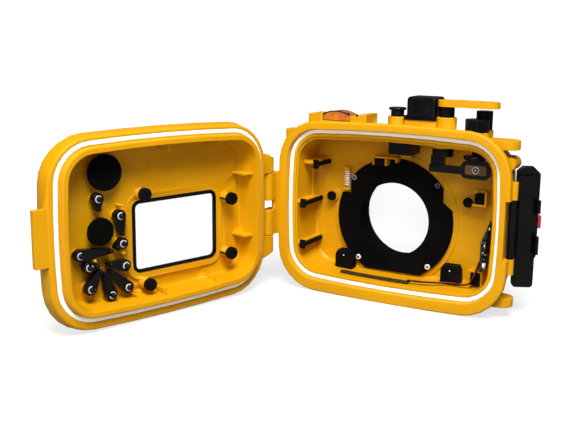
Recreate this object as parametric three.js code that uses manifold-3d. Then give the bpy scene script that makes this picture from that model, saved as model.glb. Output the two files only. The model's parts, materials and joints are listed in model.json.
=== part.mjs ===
// Underwater camera housing, standing open: a yellow front shell with its port, seal, latch and top controls,
// and a hinged back door with a screen window, two wheels and nine sprung buttons.
// Millimetres, +Z up. The photographer looks along +Y, the lens side. The shell's seal lies at y = 0
import * as THREE from 'three';
import { mergeVertices } from 'three/addons/utils/BufferGeometryUtils.js';
import Module from 'manifold-3d';

const wasm = await Module();
wasm.setup();

// Shared clearances
const gap = 0.3;
const overrun = 3;
const embed = 0.6;

// The seal outline that both halves follow: a rounded rectangle with slightly bowed sides
const seal = { width: 136.4, height: 95, low: 11.9, corner: 17, bowX: 2.2, bowZ: 2.4 };
// Both halves hang a little lower than their seals, and are cut flat where they stand
const drop = 1.2;
const cornerSteps = 6;
const sideSteps = 4;
const originY = 12;
const floorZ = 1.1;

// Places that the tables below are counted from
const sealRight = seal.width / 2;
const sealLeft = -sealRight;
const sealTop = seal.low + seal.height;
const midZ = seal.low + seal.height / 2;
const roofRise = 6.5;
const roofZ = sealTop + roofRise;

// Moves some of a table's places from where they are counted to where they are
function shifted(spec, keys, by) {
  const move = (value) => (Array.isArray(value) ? value.map((one) => one + by) : value + by);
  return { ...spec, ...Object.fromEntries(keys.map((key) => [key, move(spec[key])])) };
}

// The same for a table with one place x and one place z
function placed(spec, x, z) {
  return shifted(shifted(spec, ['x'], x), ['z'], z);
}

// Pairs of x and z, counted from the left or right end, at mid height or from the lower side
const leftOfMiddle = ([x, z]) => [sealLeft + x, midZ + z];
const rightOfMiddle = ([x, z]) => [sealRight + x, midZ + z];
const fromHingeCorner = ([x, z]) => [sealLeft + x, seal.low + z];
const fromCorner = ([x, z]) => [sealRight + x, seal.low + z];

// Front shell: places along y, and how far each outline lies outside the seal line
const shell = {
  rimFace: -3.5, rimBack: 1.5, rimGrow: 7.7, rimEdge: 1.2, bodyGrow: 4, frontGrow: 3.2, front: 32,
  frontRound: 3.4, innerFront: 28.5, openGrow: -3.4, wallGrow: -4, backGrow: -4.6, floorRound: 1.4,
  lipLand: 0.35, lipDeep: 1.6, recessGrow: 1.5,
};
const shellSeal = { half: 1.25, top: 0, depth: 2.1, crown: 0.5 };

// Back door, drawn closed
const door = {
  face: -4.3, grow: 6.4, edge: 1.2, belly: -12.5, bellyGrow: 7.7, shoulder: -17.2, shoulderGrow: 6,
  back: -20.5, backGrow: 0.5, floor: -17, floorRound: 1.6, lipOut: -0.2, lipIn: -3.6, lipTop: -0.3,
  lipEdge: 0.6, wallGrow: -4.8, openDeg: 108,
};
const doorSeal = { mid: 1.6, half: 1.25, top: -3.8, depth: 2.1, crown: 0.5 };

// Hinge on the left side: two short pins, and a web that joins the shell's knuckles behind the open middle
const hinge = shifted(
  { x: -14.3, y: -9.25, barrel: 4, pin: 1.5, pinOver: 0.8, pinShort: 2.5, slope: 5, web: 1, webFront: 3.65 },
  ['x'],
  sealLeft,
);
const knuckle = shifted(
  { doorLow: [-37, -22.2], shellLow: [-21.9, -5.2], shellHigh: [1.6, 19.9], doorHigh: [20.2, 33.7] },
  ['doorLow', 'shellLow', 'shellHigh', 'doorHigh'],
  midZ,
);

// Port through the front wall: its plate stays clear of the roof, and its rings follow the plate
const plateClear = 7;
const plateRadius = seal.height / 2 - plateClear;
const port = shifted(
  shifted({
    x: -6.1, z: -2.4, bore: -16.1, plate: 0, plateBack: 27.4, plateThick: 2, flatBelow: -4.8, notchX: -9,
    notchZ: 14.7, cutX: -7.5, cutLow: 14.6, cutOut: -0.8, cutFoot: 9.4, pad: 3.5, padFront: 27.7,
    tube: -13.5, tubeWall: 3.4, tubeEnd: 50, bezel: -4.5, bezelThick: 3.6, glass: 3, glassBack: 46,
    ledge: 1.2,
  }, ['z'], seal.low),
  ['z', 'bore', 'plate', 'flatBelow', 'notchX', 'cutX', 'cutOut', 'pad', 'tube', 'bezel'],
  plateRadius,
);
const plateScrew = shifted(
  { head: 1.9, recess: 0.9, bore: 1, high: -15, highX: -11.2, low: -11.5, lowX: -15.7, socket: 0.8 },
  ['high', 'highX', 'low', 'lowX'],
  plateRadius,
);

// Coil that loads the port lock, on its peg beside the plate's notch
const coil = shifted(
  shifted(
    { x: -2.5, y: 24.6, low: 18.8, high: 30.2, radius: 1.6, wire: 0.45, peg: 0.65, lug: 1.8, lugHalf: 2.1 },
    ['x'],
    port.x - port.notchX,
  ),
  ['low', 'high'],
  port.z,
);
const coilTurns = 7;
const coilStepsPerTurn = 8;
const coilSides = 5;

// Rubber-lined ribs on the left wall, and the pads that hold the camera
const rib = {
  thick: 2.6, reach: 4.6, start: 3, end: 27.4, strip: 1.8, stripHigh: 2.8, head: 1.4, headHigh: 6,
  headDeep: 3.8, lip: 0.6,
};
const ribRow = shifted(
  { midZ: 0.2, lowZ: -27.8, highZ: 26.2, highReach: 10.5, highStart: 9.5, post: 2.4, postStart: 21 },
  ['midZ', 'lowZ', 'highZ'],
  midZ,
);
const roundPad = { radius: 3.2, thick: 2.2, front: 22.6, boss: 4.1 };
const roundPads = { left: leftOfMiddle([17, 2.2]), right: rightOfMiddle([-23.8, 7.6]) };
const squarePad = placed(
  { x: -15.6, z: 11.2, half: 2.9, high: 3.1, front: 19.4, thick: 5.4, frame: 1.5, top: false },
  sealRight,
  midZ,
);
const topPad = shifted(
  { x: -14.6, z: -18.5, half: 3.4, high: 2.2, front: 18.6, thick: 5.2, frame: 1.3, right: -2.4, leg: 4.2 },
  ['z'],
  sealTop,
);
const shelf = shifted(
  { left: -2, right: 5.4, front: 24.2, low: -15.9, high: -12.4 },
  ['low', 'high'],
  sealTop,
);
const cornerPad = placed(
  { x: -14.6, z: 8.5, half: 3, high: 3.8, front: 15.6, thick: 6, frame: 1.4, top: true },
  sealRight,
  seal.low,
);
const footBlock = { width: 12.6, high: 12, front: 17.4, back: 24.7, bevel: 3.2, leftX: -38.2, rightX: 36.6 };
const strip = { left: -36, right: 12.6, front: 7.4, back: 11.4, thick: 0.9 };

// Leak sensor board by the right wall, held by the front wall at its edge, and its two wires
const board = shifted(
  shifted(
    {
      x: -9, thick: 1.6, front: 4.5, back: shell.innerFront - gap, low: -30.9, high: -2.4, cutY: 19, cutZ: 9,
      part: 1.3,
    },
    ['x'],
    sealRight,
  ),
  ['low', 'high'],
  midZ,
);
const wire = { radius: 0.45, spread: 1.3 };
const wireSteps = 15;
const wireSides = 6;

// Top side, its heights counted from the roof
const roof = { z: roofZ, root: 7 };
const shoe = shifted(
  {
    left: 5.8, right: 26.8, front: 8, back: 27, low: 5.2, high: 19.1, foot: 1.5, footHigh: 2.2, corner: 2.2,
    round: 1.8,
  },
  ['low', 'high'],
  roofZ,
);
const contact = shifted(
  { left: -4.4, right: 11.2, front: 8.5, back: 24, low: -17.8, high: -10.2, stem: 1.6 },
  ['low', 'high'],
  roofZ,
);
const topButton = shifted(
  {
    x: -0.3, y: 12, boss: 6, bossTop: 6.4, bore: 4.5, boreDeep: 3.4, neck: 4.2, shaft: 2.1, cap: 5.5,
    capLow: 10.3, capTop: 11.9, foot: -16.8, travel: 2,
  },
  ['bossTop', 'capLow', 'capTop', 'foot'],
  roofZ,
);
const trigger = shifted(
  {
    x: 32.4, y: 11, boss: 6.1, bossTop: 7.6, neck: 4.6, low: 14.2, thick: 3.8, hubRound: 5.6, length: 32.4,
    tipRound: 6.2, hubX: 30.9, hubLow: -16.4, hubHigh: -11.7, hub: 6.6, shaft: 2.4, stemWide: 8,
    stemDeep: 4.8, stemLow: -25.8, armThick: 3.2, armHigh: 4.6, armEnd: 10,
  },
  ['bossTop', 'low', 'hubLow', 'hubHigh', 'stemLow'],
  roofZ,
);
const paddle = shifted(
  {
    left: 44.5, right: 62.6, low: -28.2, high: -17.2, front: 5.2, thick: 3, round: 3.8, bore: 2.3,
    boreX: 53.8,
  },
  ['low', 'high'],
  roofZ,
);
const dial = shifted(
  shifted({
    x: -16.4, y: 10, radius: 7.1, low: 0.1, high: 7.5, shaft: 2.2, wheel: 7.2, wheelLow: -16.8,
    wheelHigh: -14.5, teeth: 0.7,
  }, ['x'], sealRight),
  ['low', 'high', 'wheelLow', 'wheelHigh'],
  roofZ,
);
const zoom = shifted(
  shifted(
    { x: -16, y: 23.4, radius: 5, low: 0.2, high: 11.6, shaft: 2, foot: -11.4, boss: 5.8 },
    ['x'],
    sealRight,
  ),
  ['low', 'high', 'foot'],
  roofZ,
);
const dialTeeth = 12;

// Flash hood: a higher block at each end, with the domed window between them
const flash = shifted(
  shifted({
    left: 6.5, right: -20, front: 8, back: 26, sill: 1, leftHigh: 5.1, lowHigh: 4.7, rightHigh: 6.1,
    bayLeft: 16.5, bayRight: -31.5, step: -24.6, side: 5.2, dome: 7.6, paneDeep: 12,
  }, ['left', 'bayLeft'], sealLeft),
  ['sill', 'leftHigh', 'lowHigh', 'rightHigh', 'side', 'dome'],
  roofZ,
);
const lugs = {
  ...shifted(
    { highReach: 9.8, lowReach: 10.8, bossX: 4.2, tabX: 6.8 },
    ['highReach', 'lowReach', 'bossX', 'tabX'],
    sealRight,
  ),
  ...shifted({ high: 0, bossZ: -11.5, tabZ: -2.5 }, ['high', 'bossZ', 'tabZ'], sealTop),
  ...shifted({ low: -1.1 }, ['low'], seal.low),
  thick: 5.6, front: 5, back: 19, boss: 4.2, bossFront: 9, bossBack: 23, tabHalf: 3.2, tabFront: 7,
  tabBack: 15,
};
const base = { left: -34, right: 22, front: 4, back: 27, high: 9, bevel: 4, hole: 3.2, holeDeep: 7 };

// Latch on the right side, drawn straight out, its heights counted from the middle
const latch = shifted(
  shifted({
    x: 9.4, y: 4.5, barrel: 2.2, pin: 1.1, armLow: -19.6, armHigh: 15.8, plateIn: 7.2, plateOut: 11.3,
    plateFrom: 3.3, plateTo: 15.8, low: -39.2, high: 29, lipIn: 14.9, lipOut: 16.7, lipReach: 1.4,
    lugLow: [-29.3, -19.9], lugHigh: [16.1, 26.6], lugRound: 2.5, corner: 2.2, restDeg: 25,
  }, ['x'], sealRight),
  ['armLow', 'armHigh', 'low', 'high', 'lugLow', 'lugHigh'],
  midZ,
);
const lips = [[-17.4, -6.4], [7.6, 15.6]].map((span) => span.map((z) => z + midZ));
const cover = shifted(
  { from: 3, to: 17.6, inner: 11.6, outer: 16.7, low: -25.4, high: 34.2, bevel: 4.2 },
  ['low', 'high'],
  midZ,
);
const lock = shifted({ z: 0.5, high: 8, wide: 3, deep: 1.8, proud: 2, travel: 3 }, ['z'], midZ);
const catchBlock = shifted(
  shifted({ out: 16.2, front: -5, back: -8.4, low: -15.4, high: 17 }, ['out'], sealRight),
  ['low', 'high'],
  midZ,
);
// The shell's rim is cut back beside the latch's web
const rimNotch = 3;

// Screen window in the door: a frame that passes through the wall and widens behind it
const paneMargin = { left: 23.95, right: 50.75, below: 15.5, above: 35.5 };
const pane = {
  left: sealLeft + paneMargin.left, right: sealRight - paneMargin.right,
  low: seal.low + paneMargin.below, high: sealTop - paneMargin.above,
  corner: 5, frame: 1.5, inner: -15.5, step: -17.8, outer: -21.4, wide: 4.4, splay: 3.2, ledge: 1.1, lip: 0.4,
  bezel: 4.4, bezelHigh: 1.2, glass: 2.6,
};

// Door wheels: a disc inside, a shaft, and a grooved knob outside
const wheel = { inner: -10.4, discThick: 2.6, shaft: 2.2, knobGap: 0.8, knobThick: 5.4, groove: 0.8 };
const wheelKnobTeeth = 12;
const wheels = [
  { name: 'upper_wheel', at: fromCorner([-30.7, 79.4]), disc: 10.6, knob: 9.4 },
  { name: 'lower_wheel', at: fromCorner([-26.9, 45.6]), disc: 8.2, knob: 8.2 },
];

// Door buttons: a shaft with a cap outside and a pressing arm inside, from the shaft to the arm's far end
const button = {
  shaft: 1.6, tip: -8.4, cap: 4, capGap: 1.8, capThick: 3, armFront: -10.2, armThick: 4.2, hub: 3.6,
  armHalf: 1.6, toe: 1.3, toeHigh: 1.6, boss: 3.2, bossHigh: 2,
};
const buttons = [
  [[-25.5, 64.9], [-25.3, 59.1]],
  [[-39.5, 53.3], [-40.3, 42.9]],
  [[-40.7, 36.7], [-37, 34.9]],
  [[-13.2, 33.8], [-32.2, 33.6]],
  [[-18.4, 26.1], [-23.2, 26.2]],
  [[-42.2, 23.2], [-32, 25.3]],
  [[-19.2, 13.1], [-25.2, 22.7]],
  [[-32.6, 7.2], [-29.1, 19.9]],
  [[-43.6, 9.7], [-32.5, 21.1]],
].map((pair) => pair.map(fromCorner));
const guidePin = { radius: 0.9, tip: -9.4 };
const guidePins = [[-41, 58.9], [-41, 31.1], [-22, 29.6], [-48, 5.9], [-33, 2.3]].map(fromCorner);

// Rubber-tipped posts and small ribs inside the door
const post = { radius: 3.4, tip: -8 };
const posts = [
  ...[[-55.4, 64.3], [-57.8, 8.9]].map(fromCorner),
  ...[[16.6, 53.8], [16.7, 17.9]].map(fromHingeCorner),
];
const fin = { thick: 1.8, reach: 4.2, long: 7, back: -4.5 };
const fins = [[-38.5, 1], [-2, 1], [-34.5, -1], [3, -1]];
const sideFins = [21.6, -19].map((z) => midZ + z);
const doorFoot = { half: 5, front: -12, back: -17 };
const doorFeet = [-33, 34];

// Solids

function underFloor() {
  const wide = seal.width;
  return block([-wide, wide], [-wide, wide], [floorZ - wide, floorZ]);
}

function toSolid(geometry) {
  const bare = geometry.clone();
  bare.deleteAttribute('normal');
  bare.deleteAttribute('uv');
  const merged = mergeVertices(bare, gap * 1e-3);
  return new wasm.Manifold(new wasm.Mesh({
    numProp: 3,
    vertProperties: new Float32Array(merged.attributes.position.array),
    triVerts: new Uint32Array(merged.index.array),
  }));
}

function toGeometry(solid) {
  const mesh = solid.getMesh();
  const geometry = new THREE.BufferGeometry();
  geometry.setAttribute('position', new THREE.BufferAttribute(new Float32Array(mesh.vertProperties), 3));
  geometry.setIndex(new THREE.BufferAttribute(new Uint32Array(mesh.triVerts), 1));
  geometry.computeVertexNormals();
  return geometry;
}

function union(...solids) {
  return solids.flat(Infinity).reduce((sum, solid) => sum.add(solid));
}

const mid = (span) => (span[0] + span[1]) / 2;

const size = (span) => Math.abs(span[1] - span[0]);

const around = (centre, half) => [centre - half, centre + half];

const along = (start, length) => [start, start + length];

const past = (low, high) => [low - overrun, high + overrun];

function block(x, y, z) {
  const geometry = new THREE.BoxGeometry(size(x), size(y), size(z));
  geometry.translate(mid(x), mid(y), mid(z));
  return toSolid(geometry);
}

// A round bar along one axis: at holds the other two coordinates in x, y, z order
function rod(axis, at, radius, span, sides = 24) {
  const geometry = new THREE.CylinderGeometry(radius, radius, size(span), sides);
  if (axis === 'z') {
    geometry.rotateX(Math.PI / 2);
    geometry.translate(at[0], at[1], mid(span));
  } else if (axis === 'y') {
    geometry.translate(at[0], mid(span), at[1]);
  } else {
    geometry.rotateZ(-Math.PI / 2);
    geometry.translate(mid(span), at[0], at[1]);
  }
  return toSolid(geometry);
}

// A flat outline pulled along one axis: (x, y) along z, (x, z) along y, (y, z) along x
function slab(axis, shape, span, curveSegments = 5) {
  const options = { depth: size(span), bevelEnabled: false, curveSegments };
  const geometry = new THREE.ExtrudeGeometry(shape, options);
  const low = Math.min(...span);
  const high = Math.max(...span);
  const turn = new THREE.Matrix4();
  if (axis === 'y') {
    turn.makeBasis(new THREE.Vector3(1, 0, 0), new THREE.Vector3(0, 0, 1), new THREE.Vector3(0, -1, 0));
    turn.setPosition(0, high, 0);
  } else if (axis === 'x') {
    turn.makeBasis(new THREE.Vector3(0, 1, 0), new THREE.Vector3(0, 0, 1), new THREE.Vector3(1, 0, 0));
    turn.setPosition(low, 0, 0);
  } else {
    turn.setPosition(0, 0, low);
  }
  geometry.applyMatrix4(turn);
  return toSolid(geometry);
}

function roundedRect(centre, width, height, corner) {
  const [x, y] = centre;
  const w = width / 2;
  const h = height / 2;
  const shape = new THREE.Shape();
  shape.moveTo(x - w + corner, y - h);
  shape.absarc(x + w - corner, y - h + corner, corner, -Math.PI / 2, 0);
  shape.absarc(x + w - corner, y + h - corner, corner, 0, Math.PI / 2);
  shape.absarc(x - w + corner, y + h - corner, corner, Math.PI / 2, Math.PI);
  shape.absarc(x - w + corner, y - h + corner, corner, Math.PI, Math.PI * 1.5);
  return shape;
}

function polygon(points) {
  return new THREE.Shape(points.map(([x, y]) => new THREE.Vector2(x, y)));
}

// A bar with two round ends, between two points of a plane
function barShape(from, to, fromRound, toRound = fromRound) {
  const angle = Math.atan2(to[1] - from[1], to[0] - from[0]);
  const shape = new THREE.Shape();
  shape.absarc(from[0], from[1], fromRound, angle + Math.PI / 2, angle + Math.PI * 1.5);
  shape.absarc(to[0], to[1], toRound, angle - Math.PI / 2, angle + Math.PI / 2);
  return shape;
}

// Points of a rounded rectangle whose sides lie a given distance outside the given size
function rectRing(centre, width, height, corner, grow, place) {
  const shape = roundedRect(centre, width + grow * 2, height + grow * 2, corner + grow);
  return shape.getPoints(5).slice(1).map(place);
}

// Points of the outline that lies a given distance outside the seal line
function sealOutline(grow) {
  const halfW = seal.width / 2 + grow;
  const halfH = seal.height / 2 + grow;
  const corner = seal.corner + grow;
  const points = [];
  const signs = [[1, 1], [-1, 1], [-1, -1], [1, -1]];
  signs.forEach(([sx, sz], index) => {
    const cx = sx * (halfW - corner);
    const cz = sz * (halfH - corner);
    for (let step = 0; step <= cornerSteps; step += 1) {
      const angle = (index + step / cornerSteps) * Math.PI / 2;
      points.push([cx + corner * Math.cos(angle), cz + corner * Math.sin(angle)]);
    }
    const [nx, nz] = signs[(index + 1) % signs.length];
    const from = points[points.length - 1];
    const endAngle = (index + 1) * Math.PI / 2;
    const to = [
      nx * (halfW - corner) + corner * Math.cos(endAngle),
      nz * (halfH - corner) + corner * Math.sin(endAngle),
    ];
    for (let step = 1; step < sideSteps; step += 1) {
      const share = step / sideSteps;
      points.push([from[0] + (to[0] - from[0]) * share, from[1] + (to[1] - from[1]) * share]);
    }
  });
  return points.map(([x, z]) => {
    const bowX = seal.bowX / halfW * (1 - (z / halfH) ** 2);
    const bowZ = seal.bowZ / halfH * (1 - (x / halfW) ** 2);
    return [x * (1 + bowX), z * (1 + bowZ) + midZ];
  });
}

// Joins rings of points into one closed surface, with flat ends or, if closed, back to the first ring
function skin(rings, closed) {
  const count = rings[0].length;
  const points = rings.flat();
  const faces = [];
  const last = closed ? rings.length : rings.length - 1;
  for (let ring = 0; ring < last; ring += 1) {
    const here = ring * count;
    const next = ((ring + 1) % rings.length) * count;
    for (let step = 0; step < count; step += 1) {
      const after = (step + 1) % count;
      faces.push([here + step, here + after, next + after], [here + step, next + after, next + step]);
    }
  }
  if (!closed) {
    const total = (ring, axis) => ring.reduce((sum, point) => sum + point[axis], 0);
    const centre = (ring) => [0, 1, 2].map((axis) => total(ring, axis) / count);
    const first = points.push(centre(rings[0])) - 1;
    const end = points.push(centre(rings[rings.length - 1])) - 1;
    const start = (rings.length - 1) * count;
    for (let step = 0; step < count; step += 1) {
      const after = (step + 1) % count;
      faces.push([first, after, step], [end, start + step, start + after]);
    }
  }
  const volume = faces.reduce((sum, [a, b, c]) => {
    const [p, q, r] = [points[a], points[b], points[c]];
    const cross = [q[1] * r[2] - q[2] * r[1], q[2] * r[0] - q[0] * r[2], q[0] * r[1] - q[1] * r[0]];
    return sum + p[0] * cross[0] + p[1] * cross[1] + p[2] * cross[2];
  }, 0);
  const turned = volume < 0 ? faces.map(([a, b, c]) => [a, c, b]) : faces;
  const geometry = new THREE.BufferGeometry();
  geometry.setAttribute('position', new THREE.Float32BufferAttribute(points.flat(), 3));
  geometry.setIndex(turned.flat());
  return geometry;
}

// A body whose outline changes along y: each section is [y, grow]
function loft(sections, lower = 0) {
  const rings = sections.map(([y, grow]) => sealOutline(grow).map(([x, z]) => [x, y, z - lower]));
  return toSolid(skin(rings, false));
}

// A ring that follows the seal outline, with a profile given as [grow, y] points
function outlineRing(profile) {
  const rings = profile.map(([grow, y]) => sealOutline(grow).map(([x, z]) => [x, y, z]));
  return toSolid(skin(rings, true));
}

// Finishes

function finish(color, roughness, metalness = 0) {
  return () => new THREE.MeshStandardMaterial({ color, roughness, metalness });
}

const yellowPlastic = finish('#f4ae0d', 0.42);
const blackPlastic = finish('#141414', 0.38);
const blackRubber = finish('#0c0c0c', 0.8);
const creamRubber = finish('#fbf7df', 0.6);
const chrome = finish('#d8d8da', 0.2, 1);
const redPlastic = finish('#b3263a', 0.4);
const redInsulation = finish('#a81c1c', 0.5);
const circuitGreen = finish('#10140f', 0.5);
const stripBrown = finish('#2b1a10', 0.6);

function clearPlastic() {
  return new THREE.MeshStandardMaterial({
    color: '#f2f5f6', roughness: 0.08, transparent: true, opacity: 0.35,
  });
}

function amberPlastic() {
  return new THREE.MeshStandardMaterial({
    color: '#b4571a', roughness: 0.2, transparent: true, opacity: 0.8,
  });
}

function piece(name, solid, material) {
  const mesh = new THREE.Mesh(solid instanceof THREE.BufferGeometry ? solid : toGeometry(solid), material());
  mesh.name = name;
  return mesh;
}

// Front shell

function shellBody() {
  const step = shell.rimEdge;
  return loft([
    [shell.rimFace, shell.rimGrow - step],
    [shell.rimFace + step / 3, shell.rimGrow - step / 3],
    [shell.rimFace + step, shell.rimGrow],
    [shell.rimBack - step / 2, shell.rimGrow],
    [shell.rimBack, shell.rimGrow - step / 2],
    [shell.rimBack, shell.bodyGrow],
    [shell.front - shell.frontRound * 2, shell.frontGrow],
    [shell.front - shell.frontRound * 0.7, shell.frontGrow - shell.frontRound * 0.4],
    [shell.front, shell.frontGrow - shell.frontRound * 1.6],
  ], drop);
}

function shellCavity() {
  const mouth = loft([
    [shell.rimFace - overrun, shell.openGrow],
    [shell.lipLand + shell.lipDeep, shell.openGrow],
  ]);
  const room = loft([
    [shell.lipLand + shell.lipDeep / 2, shell.wallGrow],
    [shell.innerFront - shell.floorRound, shell.backGrow],
    [shell.innerFront, shell.backGrow - shell.floorRound],
  ], drop);
  return union(mouth, room);
}

// Height of the inner floor at its highest, over the whole depth of the shell
function floorHeight(x) {
  const halfW = seal.width / 2 + shell.backGrow;
  const halfH = seal.height / 2 + shell.backGrow;
  return midZ - drop - halfH - seal.bowZ * (1 - (x / halfW) ** 2);
}

function lipRecess() {
  return loft([
    [shell.rimFace - overrun, shell.recessGrow],
    [shell.lipLand, shell.recessGrow],
  ]);
}

function sealGroove(spec, mid, floorSide) {
  const wide = spec.half + gap / 2;
  return outlineRing([
    [mid - wide, spec.top - floorSide * overrun],
    [mid + wide, spec.top - floorSide * overrun],
    [mid + wide, spec.top + floorSide * (spec.depth + gap)],
    [mid - wide, spec.top + floorSide * (spec.depth + gap)],
  ]);
}

// floorSide is +1 where the groove floor lies toward the lens, -1 where it lies toward the photographer
function sealRing(spec, mid, floorSide) {
  return outlineRing([
    [mid - spec.half, spec.top + floorSide * spec.depth],
    [mid - spec.half, spec.top + floorSide * spec.crown],
    [mid - spec.half + spec.crown, spec.top],
    [mid + spec.half - spec.crown, spec.top],
    [mid + spec.half, spec.top + floorSide * spec.crown],
    [mid + spec.half, spec.top + floorSide * spec.depth],
  ]);
}

function innerWallX(side) {
  return side * (seal.width / 2 + seal.bowX + shell.wallGrow);
}

// A rib of the left wall, pulled along y
function leftRib(z, reach, start) {
  const wall = innerWallX(-1);
  return block([wall - embed * 2, wall + reach], [start, shell.innerFront + embed], around(z, rib.thick / 2));
}

// Its rubber: a strip along the edge with a taller head at the near end
function leftRibPad(z, reach, start) {
  const edge = innerWallX(-1) + reach + gap;
  const top = z + rib.thick / 2 - rib.lip;
  const strip1 = block([edge, edge + rib.strip], [start - gap - embed, rib.end], [top - rib.stripHigh, top]);
  const headTop = top + (rib.headHigh - rib.stripHigh) / 2;
  const head = block(
    [edge + rib.strip - rib.headDeep, edge + rib.strip],
    [start - gap - rib.head, start - gap],
    [headTop - rib.headHigh, headTop],
  );
  return union(strip1, head);
}

// A holder with a floor, a right wall, and one more wall above or below
function padFrame(spec) {
  const wide = spec.half + gap + spec.frame;
  const high = spec.high + gap + spec.frame;
  const y = [spec.front + gap, shell.innerFront + embed];
  const outer = block(around(spec.x, wide), y, around(spec.z, high));
  const room = spec.high + gap;
  const inner = block(
    [spec.x - wide - overrun, spec.x + spec.half + gap],
    [spec.front - overrun, spec.front + spec.thick + gap],
    spec.top ? [spec.z - high - overrun, spec.z + room] : [spec.z - room, spec.z + high + overrun],
  );
  return outer.subtract(inner);
}

function padBlock(spec) {
  return block(around(spec.x, spec.half), along(spec.front, spec.thick), around(spec.z, spec.high));
}

function topPadFrame() {
  const left = topPad.x - topPad.half - gap - topPad.frame;
  const inner = topPad.x + topPad.half + gap;
  const top = topPad.z + topPad.high + gap;
  const legBack = port.plateBack - port.plateThick - gap;
  return union(
    block([left, topPad.right], [topPad.front, shell.innerFront + embed], [top, top + topPad.frame]),
    block([left, left + topPad.frame], [topPad.front, legBack], [topPad.z - topPad.high, top + embed]),
    block([inner, inner + topPad.frame], [topPad.front, legBack], [topPad.z - topPad.high, top + embed]),
    block(along(topPad.right, -topPad.frame), [topPad.front, legBack], [top - topPad.leg / 2, top + embed]),
    block([shelf.left, shelf.right], [shelf.front, shell.innerFront + embed], [shelf.low, shelf.high]),
  );
}

function coilLugs() {
  const x = [coil.x - coil.lugHalf, coil.x + coil.lugHalf - gap / 2];
  const y = [coil.y - coil.lugHalf, shell.innerFront + embed];
  const low = block(x, y, [coil.low - gap - coil.lug, coil.low - gap]);
  const high = block(x, y, [coil.high + gap, coil.high + gap + coil.lug]);
  const peg = rod('z', [coil.x, coil.y], coil.peg, [coil.low - gap - coil.lug / 2, coil.high - coil.lug], 12);
  return union(low, high, peg);
}

function roundBoss(at) {
  return rod('y', at, roundPad.boss, [roundPad.front + roundPad.thick + gap, shell.innerFront + embed], 20);
}

function interiorFittings() {
  const rings = [
    rod('y', [port.x, port.z], port.pad, [port.padFront, shell.innerFront + embed], 48),
    leftRib(ribRow.midZ, rib.reach, rib.start),
    leftRib(ribRow.lowZ, rib.reach, rib.start),
    leftRib(ribRow.highZ, ribRow.highReach, ribRow.highStart),
    block(
      [innerWallX(-1) - embed, innerWallX(-1) + ribRow.post],
      [ribRow.postStart, shell.innerFront + embed],
      [ribRow.midZ, ribRow.highZ],
    ),
    padFrame(squarePad),
    padFrame(cornerPad),
    topPadFrame(),
    coilLugs(),
    roundBoss(roundPads.left),
    roundBoss(roundPads.right),
  ];
  return union(rings);
}

function roofBoss(x, y, radius, top) {
  return rod('z', [x, y], radius, [roof.z - roof.root, top], 24);
}

function flashHood() {
  const outline = polygon([
    [flash.left, roof.z - overrun],
    [flash.left, flash.leftHigh],
    [flash.bayLeft, flash.leftHigh],
    [flash.bayLeft, flash.sill],
    [flash.bayRight, flash.sill],
    [flash.bayRight, flash.lowHigh],
    [flash.step, flash.lowHigh],
    [flash.step, flash.rightHigh],
    [flash.right, flash.rightHigh],
    [flash.right, roof.z - overrun],
  ]);
  return slab('y', outline, [flash.front, flash.back]);
}

// The window between the blocks: upright sides and a domed top
function flashPane() {
  const left = flash.bayLeft + gap;
  const right = flash.bayRight - gap;
  const shape = new THREE.Shape();
  shape.moveTo(left, flash.sill + gap);
  shape.lineTo(right, flash.sill + gap);
  shape.lineTo(right, flash.side);
  shape.quadraticCurveTo(mid([left, right]), flash.dome * 2 - flash.side, left, flash.side);
  return slab('y', shape, [flash.front + gap, flash.front + flash.paneDeep], 8);
}

// A tongue with a round end that sticks out to the right
function sideLug(z, reach) {
  const half = (lugs.back - lugs.front) / 2;
  const middle = (lugs.front + lugs.back) / 2;
  const shape = barShape([sealRight - half, middle], [reach - half, middle], half);
  return slab('z', shape, around(z, lugs.thick / 2));
}

function outerFittings() {
  const tab = block(
    [-lugs.tabX - lugs.tabHalf, -lugs.tabX + lugs.tabHalf * 4],
    [lugs.tabFront, lugs.tabBack],
    around(lugs.tabZ, lugs.tabHalf),
  );
  const round = rod('y', [lugs.bossX, lugs.bossZ], lugs.boss, [lugs.bossFront, lugs.bossBack], 20);
  const root = block(
    [lugs.bossX - lugs.boss * 2, lugs.bossX],
    [lugs.bossFront, lugs.bossBack],
    around(lugs.bossZ, lugs.boss),
  );
  const pad = block([shoe.left, shoe.right], [shoe.front, shoe.back], [roof.z - overrun, shoe.low - gap]);
  return union(
    flashHood(),
    sideLug(lugs.high, lugs.highReach),
    sideLug(lugs.low, lugs.lowReach),
    tab,
    round,
    root,
    pad,
    topButtonBoss(),
    roofBoss(trigger.x, trigger.y, trigger.boss, trigger.bossTop),
    roofBoss(dial.x, dial.y, dial.radius, dial.low - gap),
    roofBoss(zoom.x, zoom.y, zoom.boss, zoom.low - gap),
    baseBlock(),
  );
}

// Its counterbore takes the button's neck
function topButtonBoss() {
  const { x, y, bossTop } = topButton;
  const bore = rod('z', [x, y], topButton.bore, [bossTop - topButton.boreDeep, bossTop + overrun], 24);
  return roofBoss(x, y, topButton.boss, bossTop).subtract(bore);
}

function baseBlock() {
  const shape = polygon([
    [base.left + base.bevel, floorZ],
    [base.right - base.bevel, floorZ],
    [base.right, base.high],
    [base.left, base.high],
  ]);
  return slab('y', shape, [base.front, base.back]);
}

function innerBosses() {
  return rod('z', [trigger.hubX, trigger.y], trigger.hub, [trigger.hubHigh + gap, sealTop], 24);
}

function latchPivotSpan(room) {
  return [latch.lugLow[0] + overrun - room, latch.lugHigh[1] - overrun + room];
}

function latchLug(span) {
  const root = sealRight - embed;
  const shape = barShape([root, latch.y], [latch.x, latch.y], latch.lugRound);
  return slab('z', shape, span);
}

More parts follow.
